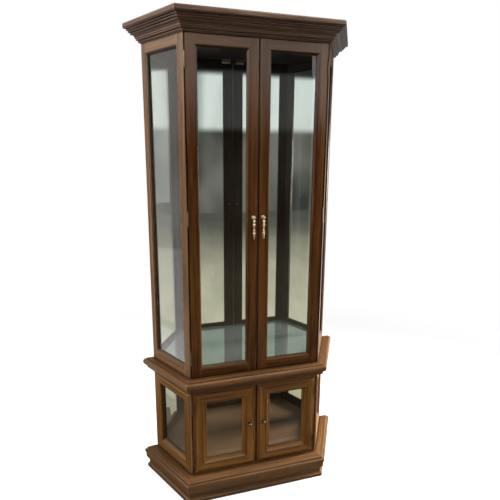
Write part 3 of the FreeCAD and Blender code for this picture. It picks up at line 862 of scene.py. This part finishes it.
# In these finishes the strengths of hollows, undersides, seams and the inner side set painted
# shade, and those of edges, the top film and ledges set painted highlight, painted reflection and,
# with a dusty film, painted sheen
UPPER_DOOR_WOOD = WoodFinish(
    "upper_door_wood", (0.018, 0.0052, 0.0010), (0.070, 0.0255, 0.0055), glaze=0.95, rub=0.2,
    top_sheen=0.15, inside=0.22, under_shade=0.85, seam_shade=0.85, reach=0.011, settled_dust_and_sheen=0.05)
PANEL_WOOD = WoodFinish(
    "panel_wood", (0.052, 0.0200, 0.0036), (0.118, 0.0490, 0.0095), glaze=0.95, rub=0.55,
    inside=0.5, seam_shade=0.9, reach=0.011)
CASE_WOOD = WoodFinish(
    "case_wood", (0.044, 0.0195, 0.0076), (0.122, 0.0630, 0.0262), glaze=0.95, inside=0.4,
    seam_shade=0.85, reach=0.014)
CORNICE_WOOD = WoodFinish(
    "cornice_wood", (0.036, 0.0189, 0.0113), (0.113, 0.0620, 0.0387), glaze=0.95, rub=0.6,
    top_sheen=0.04, under_shade=0.5, reach=0.016, settled_dust_and_sheen=0.03)
MOULDING_WOOD = WoodFinish(
    "moulding_wood", (0.036, 0.0158, 0.0054), (0.082, 0.0378, 0.0137), glaze=0.95, rub=0.7,
    under_shade=0.5, reach=0.018, settled_dust_and_sheen=0.015)
BOARD_WOOD = WoodFinish(
    "board_wood", (0.042, 0.0235, 0.0122), (0.056, 0.0325, 0.0170), glaze=0.3, settled_dust_and_sheen=0.0)
TOP_WOOD = WoodFinish(
    "top_wood", (0.010, 0.0080, 0.0075), (0.026, 0.0210, 0.0200), glaze=0.3, settled_dust_and_sheen=0.0)
BACK_BOARD = WoodFinish(
    "back_board", (0.17, 0.105, 0.057), (0.28, 0.182, 0.105), glaze=0.1, rub=0.0, gloss=0.7,
    coat=0.0, settled_dust_and_sheen=0.0)
DOOR_GLASS = GlassFinish("door_glass", 1.3)
SIDE_GLASS = GlassFinish("side_glass")
BACK_MIRROR = MirrorFinish()
DUSTY_MIRROR = MirrorFinish("dusty_mirror", (0.50, 0.56, 0.53), (0.42, 0.46, 0.44), film=0.085)
PULL_BRASS = BrassFinish("pull_brass", (0.40, 0.305, 0.195), (0.030, 0.020, 0.011), 0.28)
HINGE_BRASS = BrassFinish("hinge_brass", (0.11, 0.078, 0.046), (0.02, 0.014, 0.009), 0.3)
ANTIQUE_BRASS = BrassFinish("antique_brass", (0.10, 0.066, 0.036), (0.022, 0.015, 0.009), 0.34)
CATCH_PLASTIC = PlainFinish("catch_plastic", (0.10, 0.055, 0.03), (0.14, 0.08, 0.045), 0.5)
PLATED_STEEL = PlainFinish("plated_steel", (0.50, 0.50, 0.49), (0.62, 0.62, 0.60), 0.3,
                           metallic=1.0, mottle=420.0)
# Painted shadow: the near-black finish of the bars that stand for the screw slots
SLOT_SHADOW = PlainFinish("slot_shadow", (0.012, 0.010, 0.008), (0.02, 0.017, 0.014), 0.8)


class Dresser:
    """Puts finishes on the nodes of the frame."""

    def __init__(self, nodes: Dict[str, bpy.types.Object], effects: Effects) -> None:
        """Keep the nodes and the shared effects.

        Args:
            nodes: The frame's nodes by name.
            effects: The shared groups.
        """
        self.nodes = nodes
        self.effects = effects
        self.cut = 0

    def coat(self, node: str, material: bpy.types.Material) -> None:
        """Put a material on a node and report it.

        Args:
            node: The node's name.
            material: The material.
        """
        slots = self.nodes[node].data.materials
        slots.clear()
        slots.append(material)
        LOG.info("%s: %s", node, material.name)

    def wood(self, finish: WoodFinish, run: GrainRun, *names: str,
             span: Span = (0.0, 1.0)) -> None:
        """Finish wooden nodes, each cut from its own part of the log.

        Args:
            finish: The wood's finish.
            run: Which way the grain runs.
            names: The nodes.
            span: Bottom and top of a mitred frame, in metres.
        """
        for name in names:
            self.cut += 1
            self.coat(name, finish.material(self.effects, run, self.cut, span))

    def same(self, material: bpy.types.Material, *names: str) -> None:
        """Finish nodes that share one material."""
        for name in names:
            self.coat(name, material)


def mesh_piece(name: str, form: bmesh.types.BMesh, finishes: Sequence[bpy.types.Material],
               body: str) -> None:
    """Make a finished piece of a form that is already in place, and let it ride on a body.

    Args:
        name: The piece's name.
        form: Its form, which is freed.
        finishes: Its finishes, in the order of its faces' places among them.
        body: The body that carries it.
    """
    bmesh.ops.recalc_face_normals(form, faces=form.faces)
    mesh = bpy.data.meshes.new(name)
    form.to_mesh(mesh)
    form.free()
    for finish in finishes:
        mesh.materials.append(finish)
    piece = bpy.data.objects.new(name, mesh)
    bpy.context.scene.collection.objects.link(piece)
    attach(piece, body)
    LOG.info("%s rides on %s: %d faces", name, body, len(mesh.polygons))


@dataclass
class Case:
    """The fixed case: frames, mouldings, boards and mirrors."""

    lower_span: Span = (0.105, 0.502)

    def dress(self, dresser: Dresser) -> None:
        """Finish the case's nodes.

        Args:
            dresser: Puts the finishes on.
        """
        for place, run in (("front", GrainRun.ACROSS), ("left", GrainRun.LEFT_CANT),
                           ("right", GrainRun.RIGHT_CANT)):
            dresser.wood(CORNICE_WOOD, run, "cornice_" + place)
            dresser.wood(MOULDING_WOOD, run, "waist_moulding_" + place, "base_moulding_" + place)
        dresser.wood(CASE_WOOD, GrainRun.ACROSS,
                     "upper_header_rail", "lower_header_rail", "base_frame_rails")
        dresser.wood(CASE_WOOD, GrainRun.COPED_SIDE,
                     "upper_left_side_frame", "upper_right_side_frame")
        dresser.wood(CASE_WOOD, GrainRun.PLAIN_SIDE,
                     "lower_left_side_frame", "lower_right_side_frame")
        dresser.wood(PANEL_WOOD, GrainRun.MITRED_SIDE, "lower_side_mouldings",
                     span=self.lower_span)
        dresser.wood(BOARD_WOOD, GrainRun.ACROSS, "lower_floor", "upper_floor", "waist_board")
        dresser.wood(TOP_WOOD, GrainRun.ACROSS, "top_board")
        dresser.wood(BACK_BOARD, GrainRun.UPRIGHT, "upper_back_panel", "lower_back_panel")
        dresser.wood(UPPER_DOOR_WOOD, GrainRun.UPRIGHT, "side_glass_stops")
        dresser.same(BACK_MIRROR.material(dresser.effects), "upper_mirror", "lower_mirror")
        dresser.same(DUSTY_MIRROR.material(dresser.effects), "upper_floor_mirror")
        dresser.same(CATCH_PLASTIC.material(dresser.effects), "magnetic_catches")


@dataclass
class Doors:
    """The four glazed doors with their hinges, pulls and knobs, and the glass of the sides."""

    hands: Tuple[Hand, ...] = (Hand.LEFT, Hand.RIGHT)

    def dress(self, dresser: Dresser) -> None:
        """Finish the doors' nodes.

        Args:
            dresser: Puts the finishes on.
        """
        pull = PULL_BRASS.material(dresser.effects)
        hinge = HINGE_BRASS.material(dresser.effects)
        antique = ANTIQUE_BRASS.material(dresser.effects)
        door_glass = DOOR_GLASS.material(dresser.effects)
        side_glass = SIDE_GLASS.material(dresser.effects)
        for half, wood, metal in (("upper", UPPER_DOOR_WOOD, hinge),
                                  ("lower", PANEL_WOOD, antique)):
            dresser.same(metal, half + "_hinge_case_leaves", half + "_hinge_pins")
            dresser.same(side_glass, half + "_side_glass")
            for hand in self.hands:
                door = "%s_%s_door_" % (half, hand.label)
                dresser.wood(wood, GrainRun.UPRIGHT, door + "stiles", door + "glass_stops")
                dresser.wood(wood, GrainRun.ACROSS, door + "rails")
                dresser.same(door_glass, door + "glass")
                dresser.same(metal, door + "hinge_leaves")
        for hand in self.hands:
            dresser.same(pull, "upper_%s_pull_post" % hand.label,
                         "upper_%s_pull_drop" % hand.label)
            dresser.same(antique, "lower_%s_knob" % hand.label)


@dataclass(frozen=True)
class ScrewHead:
    """A slotted screw head.

    Attributes:
        radius: Radius of its foot, in metres.
        proud: How far it stands out, in metres.
        taper: Radius of its top to that of its foot.
        slot_length: Length of the slot to the radius.
        slot_width: Width of the slot to the radius.
        slot_depth: Depth of the slot's dark bar to the head's height.
        sides: Flats round the head.
    """

    radius: float
    proud: float
    taper: float = 0.82
    slot_length: float = 1.5
    slot_width: float = 0.26
    # slot_depth: Depth of the slot's dark bar, a painted shadow, to the head's height.
    slot_depth: float = 0.1
    sides: int = 24


class Former:
    """A mesh in the making, to which small turned and flat pieces are added in place.

    Attributes:
        slot_finish: Place of a screw slot's finish among the piece's finishes.
    """

    slot_finish: int = 1

    def __init__(self) -> None:
        """Start empty."""
        self.form = bmesh.new()

    def block(self, low: Sequence[float], high: Sequence[float], ease: float = 0.0) -> None:
        """Add a block between two corners.

        Args:
            low: Its low corner.
            high: Its high corner.
            ease: Rounding of its edges.
        """
        first, last = Vector(low), Vector(high)
        place = Matrix.Translation((first + last) / 2.0) @ Matrix.Diagonal((*(last - first), 1.0))
        made = bmesh.ops.create_cube(self.form, size=1.0, matrix=place)["verts"]
        if ease:
            edges = list({edge for vert in made for edge in vert.link_edges})
            bmesh.ops.bevel(self.form, geom=edges, offset=ease, offset_type="OFFSET", segments=2,
                            profile=0.5, affect="EDGES", material=-1)

    def screw(self, head: ScrewHead, seat: Sequence[float], facing: Sequence[float],
              slot_turn: float) -> None:
        """Add a slotted screw head.

        Args:
            head: The head's sizes.
            seat: The middle of the head, on the surface under it.
            facing: Which way the head faces.
            slot_turn: Turn of the slot, in degrees.
        """
        turn = Vector(facing).normalized().to_track_quat("Z", "Y").to_matrix().to_4x4()
        spin = Matrix.Rotation(math.radians(slot_turn), 4, "Z")
        place = Matrix.Translation(seat) @ turn @ spin
        lift = Matrix.Translation((0.0, 0.0, head.proud / 2.0))
        bmesh.ops.create_cone(self.form, cap_ends=True, segments=head.sides, radius1=head.radius,
                              radius2=head.radius * head.taper, depth=head.proud,
                              matrix=place @ lift)
        slot = Matrix.Diagonal((head.radius * head.slot_length, head.radius * head.slot_width,
                                head.proud * head.slot_depth, 1.0))
        bar = Matrix.Translation((0.0, 0.0, head.proud)) @ slot
        made = bmesh.ops.create_cube(self.form, size=1.0, matrix=place @ bar)["verts"]
        for face in {face for vert in made for face in vert.link_faces}:
            face.material_index = self.slot_finish


@dataclass(frozen=True)
class Storey:
    """Where the hardware of the upper or the lower doors sits, in metres.

    Attributes:
        name: Upper or lower.
        slot: The record's material slot for its hinges; not used.
        hinge_levels: Heights of the hinges' middles.
        handle_seat: Distance of a handle from the middle of the cabinet, and its height.
        strike_levels: Bottom and top of the plate that a catch holds.
        strike_thick: Thickness of that plate.
        pole_levels: Heights of a catch's two poles.
        pole_depths: Front and back of the poles.
    """

    name: str
    slot: str
    hinge_levels: Tuple[float, ...]
    handle_seat: Span
    strike_levels: Span
    strike_thick: float
    pole_levels: Span
    pole_depths: Span


UPPER_STOREY = Storey(
    "upper", "bright_brass", hinge_levels=(0.659, 1.246, 1.833), handle_seat=(0.0200, 1.2430),
    strike_levels=(1.9095, 1.9225), strike_thick=0.0012, pole_levels=(1.9165, 1.9225),
    pole_depths=(-0.0719, -0.0690))
LOWER_STOREY = Storey(
    "lower", "antique_brass", hinge_levels=(0.178, 0.429), handle_seat=(0.03125, 0.3165),
    strike_levels=(0.4885, 0.4990), strike_thick=0.0003, pole_levels=(0.4925, 0.4972),
    pole_depths=(-0.0731, -0.0710))


@dataclass
class Hardware:
    """Screws of the hinges and handles, and the steel of the magnetic catches."""

    storeys: Tuple[Storey, ...] = (UPPER_STOREY, LOWER_STOREY)
    hinge_x: float = 0.2852
    leaf_face: float = 0.0001
    leaf_screws: Tuple[Span, ...] = ((-0.0870, -0.0165), (-0.0830, 0.0), (-0.0870, 0.0165))
    leaf_head: ScrewHead = ScrewHead(0.0026, 0.00005)
    leaf_slot_step: float = 35.0
    door_back: float = -0.0735
    backward: Place = (0.0, 1.0, 0.0)
    handle_head: ScrewHead = ScrewHead(0.0042, 0.0016)
    handle_slot_turn: float = 20.0
    catch_x: Span = (0.014, 0.054)
    strike_ease: float = 0.3
    strike_head: ScrewHead = ScrewHead(0.0023, 0.00008)
    strike_head_inset: float = 0.007
    strike_slot_turn: float = 50.0
    pole_inset: float = 0.004
    pole_half: float = 0.0008

    def build(self, dresser: Dresser) -> None:
        """Make every small piece.

        Args:
            dresser: Has put the finishes on the hinges.
        """
        slot_shade = SLOT_SHADOW.material(dresser.effects)
        steel = PLATED_STEEL.material(dresser.effects)
        for storey in self.storeys:
            metal = dresser.nodes[storey.name + "_hinge_pins"].data.materials[0]
            case = Former()
            for hand in Hand:
                door = Former()
                self.add_leaf_screws(case, storey, hand, -hand.value)
                self.add_leaf_screws(door, storey, hand, hand.value)
                across, level = storey.handle_seat
                door.screw(self.handle_head, (hand.value * across, self.door_back, level),
                           self.backward, self.handle_slot_turn * hand.value)
                body = "%s_%s_door" % (storey.name, hand.label)
                mesh_piece(body + "_screws", door.form, (metal, slot_shade), body)
                strike = Former()
                self.add_strike(strike, storey, hand)
                mesh_piece(body + "_strike_plate", strike.form, (steel, slot_shade), body)
            mesh_piece(storey.name + "_case_leaf_screws", case.form, (metal, slot_shade), "case")
        poles = Former()
        for hand in Hand:
            self.add_poles(poles, hand)
        mesh_piece("catch_pole_pieces", poles.form, (steel,), "case")

    def add_leaf_screws(self, former: Former, storey: Storey, hand: Hand, facing: float) -> None:
        """Add the screws of one leaf of each hinge on one side.

        Args:
            former: The mesh to add to.
            storey: The upper or the lower doors' places.
            hand: The side.
            facing: Which way along X the leaf's inner face looks.
        """
        across = hand.value * self.hinge_x - facing * self.leaf_face
        for level in storey.hinge_levels:
            for count, (depth, rise) in enumerate(self.leaf_screws):
                former.screw(self.leaf_head, (across, depth, level + rise), (facing, 0.0, 0.0),
                             self.leaf_slot_step * count)

    def add_strike(self, former: Former, storey: Storey, hand: Hand) -> None:
        """Add the plate on a door's back that the catch holds.

        Args:
            former: The mesh to add to.
            storey: The upper or the lower doors' places.
            hand: The side.
        """
        near, far = sorted(hand.value * edge for edge in self.catch_x)
        low, high = storey.strike_levels
        front = self.door_back + storey.strike_thick
        former.block((near, self.door_back, low), (far, front, high),
                     storey.strike_thick * self.strike_ease)
        for across in (near + self.strike_head_inset, far - self.strike_head_inset):
            former.screw(self.strike_head, (across, front, (low + high) / 2.0), self.backward,
                         self.strike_slot_turn * hand.value)

    def add_poles(self, former: Former, hand: Hand) -> None:
        """Add the steel pole plates of the catches on one side.

        Args:
            former: The mesh to add to.
            hand: The side.
        """
        near, far = sorted((hand.value * (self.catch_x[0] + self.pole_inset),
                            hand.value * (self.catch_x[1] - self.pole_inset)))
        for storey in self.storeys:
            face, back = storey.pole_depths
            for level in storey.pole_levels:
                former.block((near, face, level - self.pole_half),
                             (far, back, level + self.pole_half))


@dataclass(frozen=True)
class PhotoCamera:
    """The photograph's camera in the cabinet's own frame, with lengths of its picture in pixels."""

    place: Place = (-0.490, -1.7363, 1.5155)
    yaw: float = 0.2832
    pitch: float = -0.1983
    roll: float = 0.0086
    focal: float = 426.77
    centre: Span = (255.29, 234.83)
    width: float = 500.0
    sensor: float = 36.0
    far: float = 60.0

    def build(self) -> None:
        """Make the camera and set it on the scene."""
        ahead = Vector((math.sin(self.yaw) * math.cos(self.pitch),
                        math.cos(self.yaw) * math.cos(self.pitch), math.sin(self.pitch)))
        level = Vector((math.cos(self.yaw), -math.sin(self.yaw), 0.0))
        upward = level.cross(ahead)
        right = math.cos(self.roll) * level + math.sin(self.roll) * upward
        top = math.cos(self.roll) * upward - math.sin(self.roll) * level
        turn = Matrix((right, top, -ahead)).transposed().to_4x4()
        data = bpy.data.cameras.new("photo_camera")
        data.sensor_width = self.sensor
        data.lens = self.focal * self.sensor / self.width
        data.shift_x = 0.5 - self.centre[0] / self.width
        data.shift_y = self.centre[1] / self.width - 0.5
        data.clip_end = self.far
        camera = bpy.data.objects.new("photo_camera", data)
        bpy.context.scene.collection.objects.link(camera)
        camera.matrix_world = Matrix.Translation(self.place) @ turn
        bpy.context.scene.camera = camera


@dataclass(frozen=True)
class Lamp:
    """A soft rectangular lamp: its place and target, its width and height, watts and beam angle."""

    name: str
    place: Place
    target: Place
    size: Span
    watts: float
    spread: float = 180.0

    def hang(self) -> None:
        """Put the lamp in the scene, out of sight of the camera and of glass."""
        data = bpy.data.lights.new(self.name, "AREA")
        data.shape = "RECTANGLE"
        data.size, data.size_y = self.size
        data.energy = self.watts
        data.spread = math.radians(self.spread)
        made = bpy.data.objects.new(self.name, data)
        bpy.context.scene.collection.objects.link(made)
        made.location = self.place
        aim = Vector(self.target) - Vector(self.place)
        made.rotation_euler = aim.to_track_quat("-Z", "Y").to_euler()
        made.visible_transmission = False
        made.visible_camera = False


class Stance(Enum):
    """How a sheet of the stage stands: its turn from lying flat, in degrees, and its axis."""

    FLAT = (0.0, "X")
    ACROSS = (90.0, "X")
    ALONG = (90.0, "Y")


@dataclass(frozen=True)
class Sheet:
    """A flat sheet of the stage, by its half sizes before it is turned and its middle."""

    name: str
    half: Span
    stance: Stance
    place: Place

    def lay(self, material: bpy.types.Material) -> bpy.types.Object:
        """Put the sheet on the stage.

        Args:
            material: Its finish.

        Returns:
            The sheet.
        """
        angle, axis = self.stance.value
        turn = Matrix.Rotation(math.radians(angle), 3, axis)
        form = bmesh.new()
        bmesh.ops.create_grid(form, x_segments=1, y_segments=1, size=1.0)
        bmesh.ops.scale(form, vec=(*self.half, 1.0), verts=form.verts)
        bmesh.ops.rotate(form, cent=(0.0, 0.0, 0.0), matrix=turn, verts=form.verts)
        bmesh.ops.translate(form, vec=self.place, verts=form.verts)
        mesh = bpy.data.meshes.new(self.name)
        form.to_mesh(mesh)
        form.free()
        mesh.materials.append(material)
        made = bpy.data.objects.new(self.name, mesh)
        bpy.context.scene.collection.objects.link(made)
        return made


@dataclass(frozen=True)
class Room:
    """A dim room of plain cards that only gloss and glass can show."""

    wall: Sheet = Sheet("room_wall", (7.0, 3.2), Stance.ACROSS, (1.0, -8.0, 3.2))
    mat: Sheet = Sheet("room_mat", (7.0, 3.99), Stance.FLAT, (1.0, -4.11, 0.002))
    dim_mats: Tuple[Sheet, ...] = (
        Sheet("room_dim_mat_side", (0.405, 0.465), Stance.FLAT, (-0.735, 0.135, 0.003)),
        Sheet("room_dim_mat_front", (0.39, 0.3), Stance.FLAT, (0.11, -0.62, 0.003)),
    )
    pale_mat: Sheet = Sheet("room_pale_mat", (0.5, 0.2), Stance.FLAT, (0.85, -0.12, 0.003))
    left: Sheet = Sheet("room_left", (2.6, 4.6), Stance.ALONG, (-4.6, 1.4, 2.6))
    right: Sheet = Sheet("room_right", (4.0, 8.6), Stance.ALONG, (4.6, 5.4, 4.0))

    # The far wall: dim patches, a row of panes over them, and three plain bands above
    patches: Noise = Noise((0.7, 0.0, 0.35))
    patch_span: Span = (0.4, 0.6)
    patch_tones: Tuple[Colour, Colour] = ((0.05, 0.05, 0.046), (0.20, 0.195, 0.175))
    panes: Noise = Noise((0.5, 0.0, 0.05), 1.0)
    pane_span: Span = (0.38, 0.45)
    pane_tones: Tuple[Colour, Colour] = ((0.22, 0.225, 0.21), (0.83, 0.88, 0.86))
    pane_levels: Span = (1.85, 2.05)
    upper_wall: Tuple[Tuple[Span, Colour], ...] = (
        ((3.1, 3.25), (0.02, 0.021, 0.024)),
        ((3.9, 4.1), (0.34, 0.37, 0.325)),
        ((4.9, 5.8), (0.58, 0.62, 0.56)),
    )

    # The mats: one that pales towards the cabinet, two dim ones and a pale one beside it
    mat_wear: Noise = Noise((1.6, 0.8, 1.0), 3.0)
    mat_wear_gain: float = 1.2
    mat_wear_share: float = 0.5
    mat_span: Span = (-7.0, -1.0)
    mat_tones: Tuple[Colour, Colour] = ((0.13, 0.13, 0.115), (0.80, 0.75, 0.57))
    dim_wear: Noise = Noise((1.2, 1.2, 1.0), 3.0)
    dim_tones: Tuple[Colour, Colour] = ((0.09, 0.084, 0.07), (0.19, 0.176, 0.145))
    pale_tone: Colour = (0.62, 0.57, 0.37)

    # The side walls: pale on the left, and on the right dark above the dusk levels
    drift: Noise = Noise((0.4, 0.4, 0.5))
    drift_span: Span = (0.35, 0.65)
    left_tones: Tuple[Colour, Colour] = ((0.56, 0.54, 0.50), (0.86, 0.84, 0.79))
    right_tones: Tuple[Colour, Colour] = ((0.34, 0.335, 0.31), (0.78, 0.77, 0.73))
    dusk_levels: Span = (2.4, 3.2)
    dusk_tone: Colour = (0.03, 0.033, 0.042)

    def build(self) -> None:
        """Set up the cards, out of sight of the camera and of diffuse and shadow rays."""
        wall, mat, dim_mat = self.wall_finish(), self.mat_finish(), self.dim_mat_finish()
        pale_mat = self.card("room_pale_mat")
        pale_mat.give(Color=self.pale_tone)
        left = self.side_finish("room_left", self.left_tones)
        right = self.side_finish("room_right", self.right_tones, self.dusk_levels)
        for sheet, finish in (
            (self.wall, wall),
            (self.mat, mat),
            *((sheet, dim_mat) for sheet in self.dim_mats),
            (self.pale_mat, pale_mat),
            (self.left, left),
            (self.right, right),
        ):
            card = sheet.lay(finish.material)
            card.visible_camera = False
            card.visible_diffuse = False
            card.visible_shadow = False

    @staticmethod
    def card(name: str) -> Surface:
        """Start the finish of a card that shows its own tone."""
        return Surface(name, "ShaderNodeEmission")

    def wall_finish(self) -> Surface:
        """Make the finish of the far wall.

        Returns:
            The finish.
        """
        made = self.card("room_wall")
        pad = made.pad
        level = pad.apart(made.place)["Z"]
        patches = pad.band(pad.noise(made.place, self.patches), self.patch_span)
        panes = pad.band(pad.noise(made.place, self.panes), self.pane_span)
        tone = pad.blend(pad.band(level, self.pane_levels), pad.blend(patches, *self.patch_tones),
                         pad.blend(panes, *self.pane_tones))
        for levels, colour in self.upper_wall:
            tone = pad.blend(pad.band(level, levels), tone, colour)
        made.give(Color=tone)
        return made

    def mat_finish(self) -> Surface:
        """Make the finish of the wide mat before the cabinet.

        Returns:
            The finish.
        """
        made = self.card("room_mat")
        pad = made.pad
        worn = pad.scaled(pad.noise(made.place, self.mat_wear), self.mat_wear_gain)
        near = pad.band(pad.apart(made.place)["Y"], self.mat_span)
        tone = pad.blend(near, *self.mat_tones)
        made.give(Color=pad.blend(self.mat_wear_share, tone, worn, "MULTIPLY"))
        return made

    def dim_mat_finish(self) -> Surface:
        """Make the finish of the dim mats.

        Returns:
            The finish.
        """
        made = self.card("room_dim_mat")
        worn = made.pad.band(made.pad.noise(made.place, self.dim_wear), self.drift_span)
        made.give(Color=made.pad.blend(worn, *self.dim_tones))
        return made

    def side_finish(self, name: str, tones: Tuple[Colour, Colour],
                    dusk: Optional[Span] = None) -> Surface:
        """Make the finish of a side wall.

        Args:
            name: The finish's name.
            tones: Its darker and its lighter tone.
            dusk: Levels between which it turns dark, if it does.

        Returns:
            The finish.
        """
        made = self.card(name)
        pad = made.pad
        tone = pad.blend(pad.band(pad.noise(made.place, self.drift), self.drift_span), *tones)
        if dusk is not None:
            tone = pad.blend(pad.band(pad.apart(made.place)["Z"], dusk), tone, self.dusk_tone)
        made.give(Color=tone)
        return made


@dataclass
class Studio:
    """A pale floor, a white surround, the room that gloss and glass show, and soft lamps."""

    floor: Sheet = Sheet("studio_floor", (20.0, 20.0), Stance.FLAT, (0.0, 0.0, 0.0))
    floor_white: float = 0.8
    floor_bounce: float = 0.4
    floor_rough: float = 0.9
    floor_specular: float = 0.1
    floor_glow: float = 0.5
    shadow_reach: Span = (0.7, 2.6)
    surround: float = 0.16
    lamps: Tuple[Lamp, ...] = (
        Lamp("key", (-1.7, -2.2, 3.8), (0.0, 0.0, 0.8), (1.8, 0.5), 105.0),
        Lamp("fill", (2.2, -3.0, 2.6), (0.0, 0.0, 0.8), (1.4, 1.8), 48.0),
        Lamp("top", (0.9, -0.9, 4.3), (0.1, -0.1, 0.3), (2.2, 0.4), 102.0),
        Lamp("left", (-3.2, 0.4, 2.2), (0.0, 0.0, 1.0), (1.0, 2.4), 98.0),
        Lamp("graze", (-2.6, -0.6, 1.5), (0.1, -0.09, 1.3), (0.4, 1.6), 38.0),
        Lamp("right", (2.9, 0.1, 1.25), (0.45, 0.0, 0.3), (0.8, 0.8), 95.0, spread=70.0),
    )

    def build(self) -> None:
        """Make the whole set."""
        self.make_surround()
        self.make_floor()
        Room().build()
        for lamp in self.lamps:
            lamp.hang()
        bpy.context.scene.view_settings.view_transform = "Standard"

    @staticmethod
    def seen(pad: Wiring) -> Socket:
        """Mark the rays on which the white background shows.

        Args:
            pad: The wiring of the world or of a stage material.

        Returns:
            The mark's socket.
        """
        path = pad.node("ShaderNodeLightPath").outputs
        mirrored = pad.calc("MAXIMUM", path["Is Glossy Ray"], path["Is Transmission Ray"])
        return pad.calc("MAXIMUM", path["Is Camera Ray"], mirrored)

    def make_surround(self) -> None:
        """Make the surround, white where it is seen and softer where it lights the cabinet."""
        world = bpy.data.worlds.new("surround")
        bpy.context.scene.world = world
        world.use_nodes = True
        world.node_tree.nodes.clear()
        pad = Wiring(world.node_tree)
        strength = pad.raised(self.surround, self.seen(pad), 1.0 - self.surround)
        back = pad.node("ShaderNodeBackground", Color=WHITE, Strength=strength)
        pad.node("ShaderNodeOutputWorld", Surface=back.outputs[0])

    def make_floor(self) -> None:
        """Make a wide pale floor that keeps the cabinet's shadow and fades to white."""
        made = Surface(self.floor.name)
        pad = made.pad
        bounced = pad.node("ShaderNodeLightPath").outputs["Is Diffuse Ray"]
        tone = pad.blend(bounced, (self.floor_white,) * 3, (self.floor_bounce,) * 3)
        made.give(Base_Color=tone, Roughness=self.floor_rough,
                  Specular_IOR_Level=self.floor_specular)
        away = pad.node("ShaderNodeVectorMath", Vector=made.place)
        away.operation = "LENGTH"
        far = pad.band(away.outputs["Value"], self.shadow_reach)
        fade = pad.raised(self.floor_glow, far, 1.0 - self.floor_glow)
        made.cover(pad.scaled(self.seen(pad), fade),
                   pad.node("ShaderNodeEmission", Color=WHITE, Strength=1.0))
        self.floor.lay(made.material)


def main() -> None:
    """Dress the cabinet, add its small hardware and build the studio round it."""
    logging.basicConfig(level=logging.INFO, format="%(name)s %(message)s")
    dresser = Dresser(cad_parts, Effects())
    Case().dress(dresser)
    Doors().dress(dresser)
    Hardware().build(dresser)
    Studio().build()
    PhotoCamera().build()


if __name__ == "__main__":
    main()
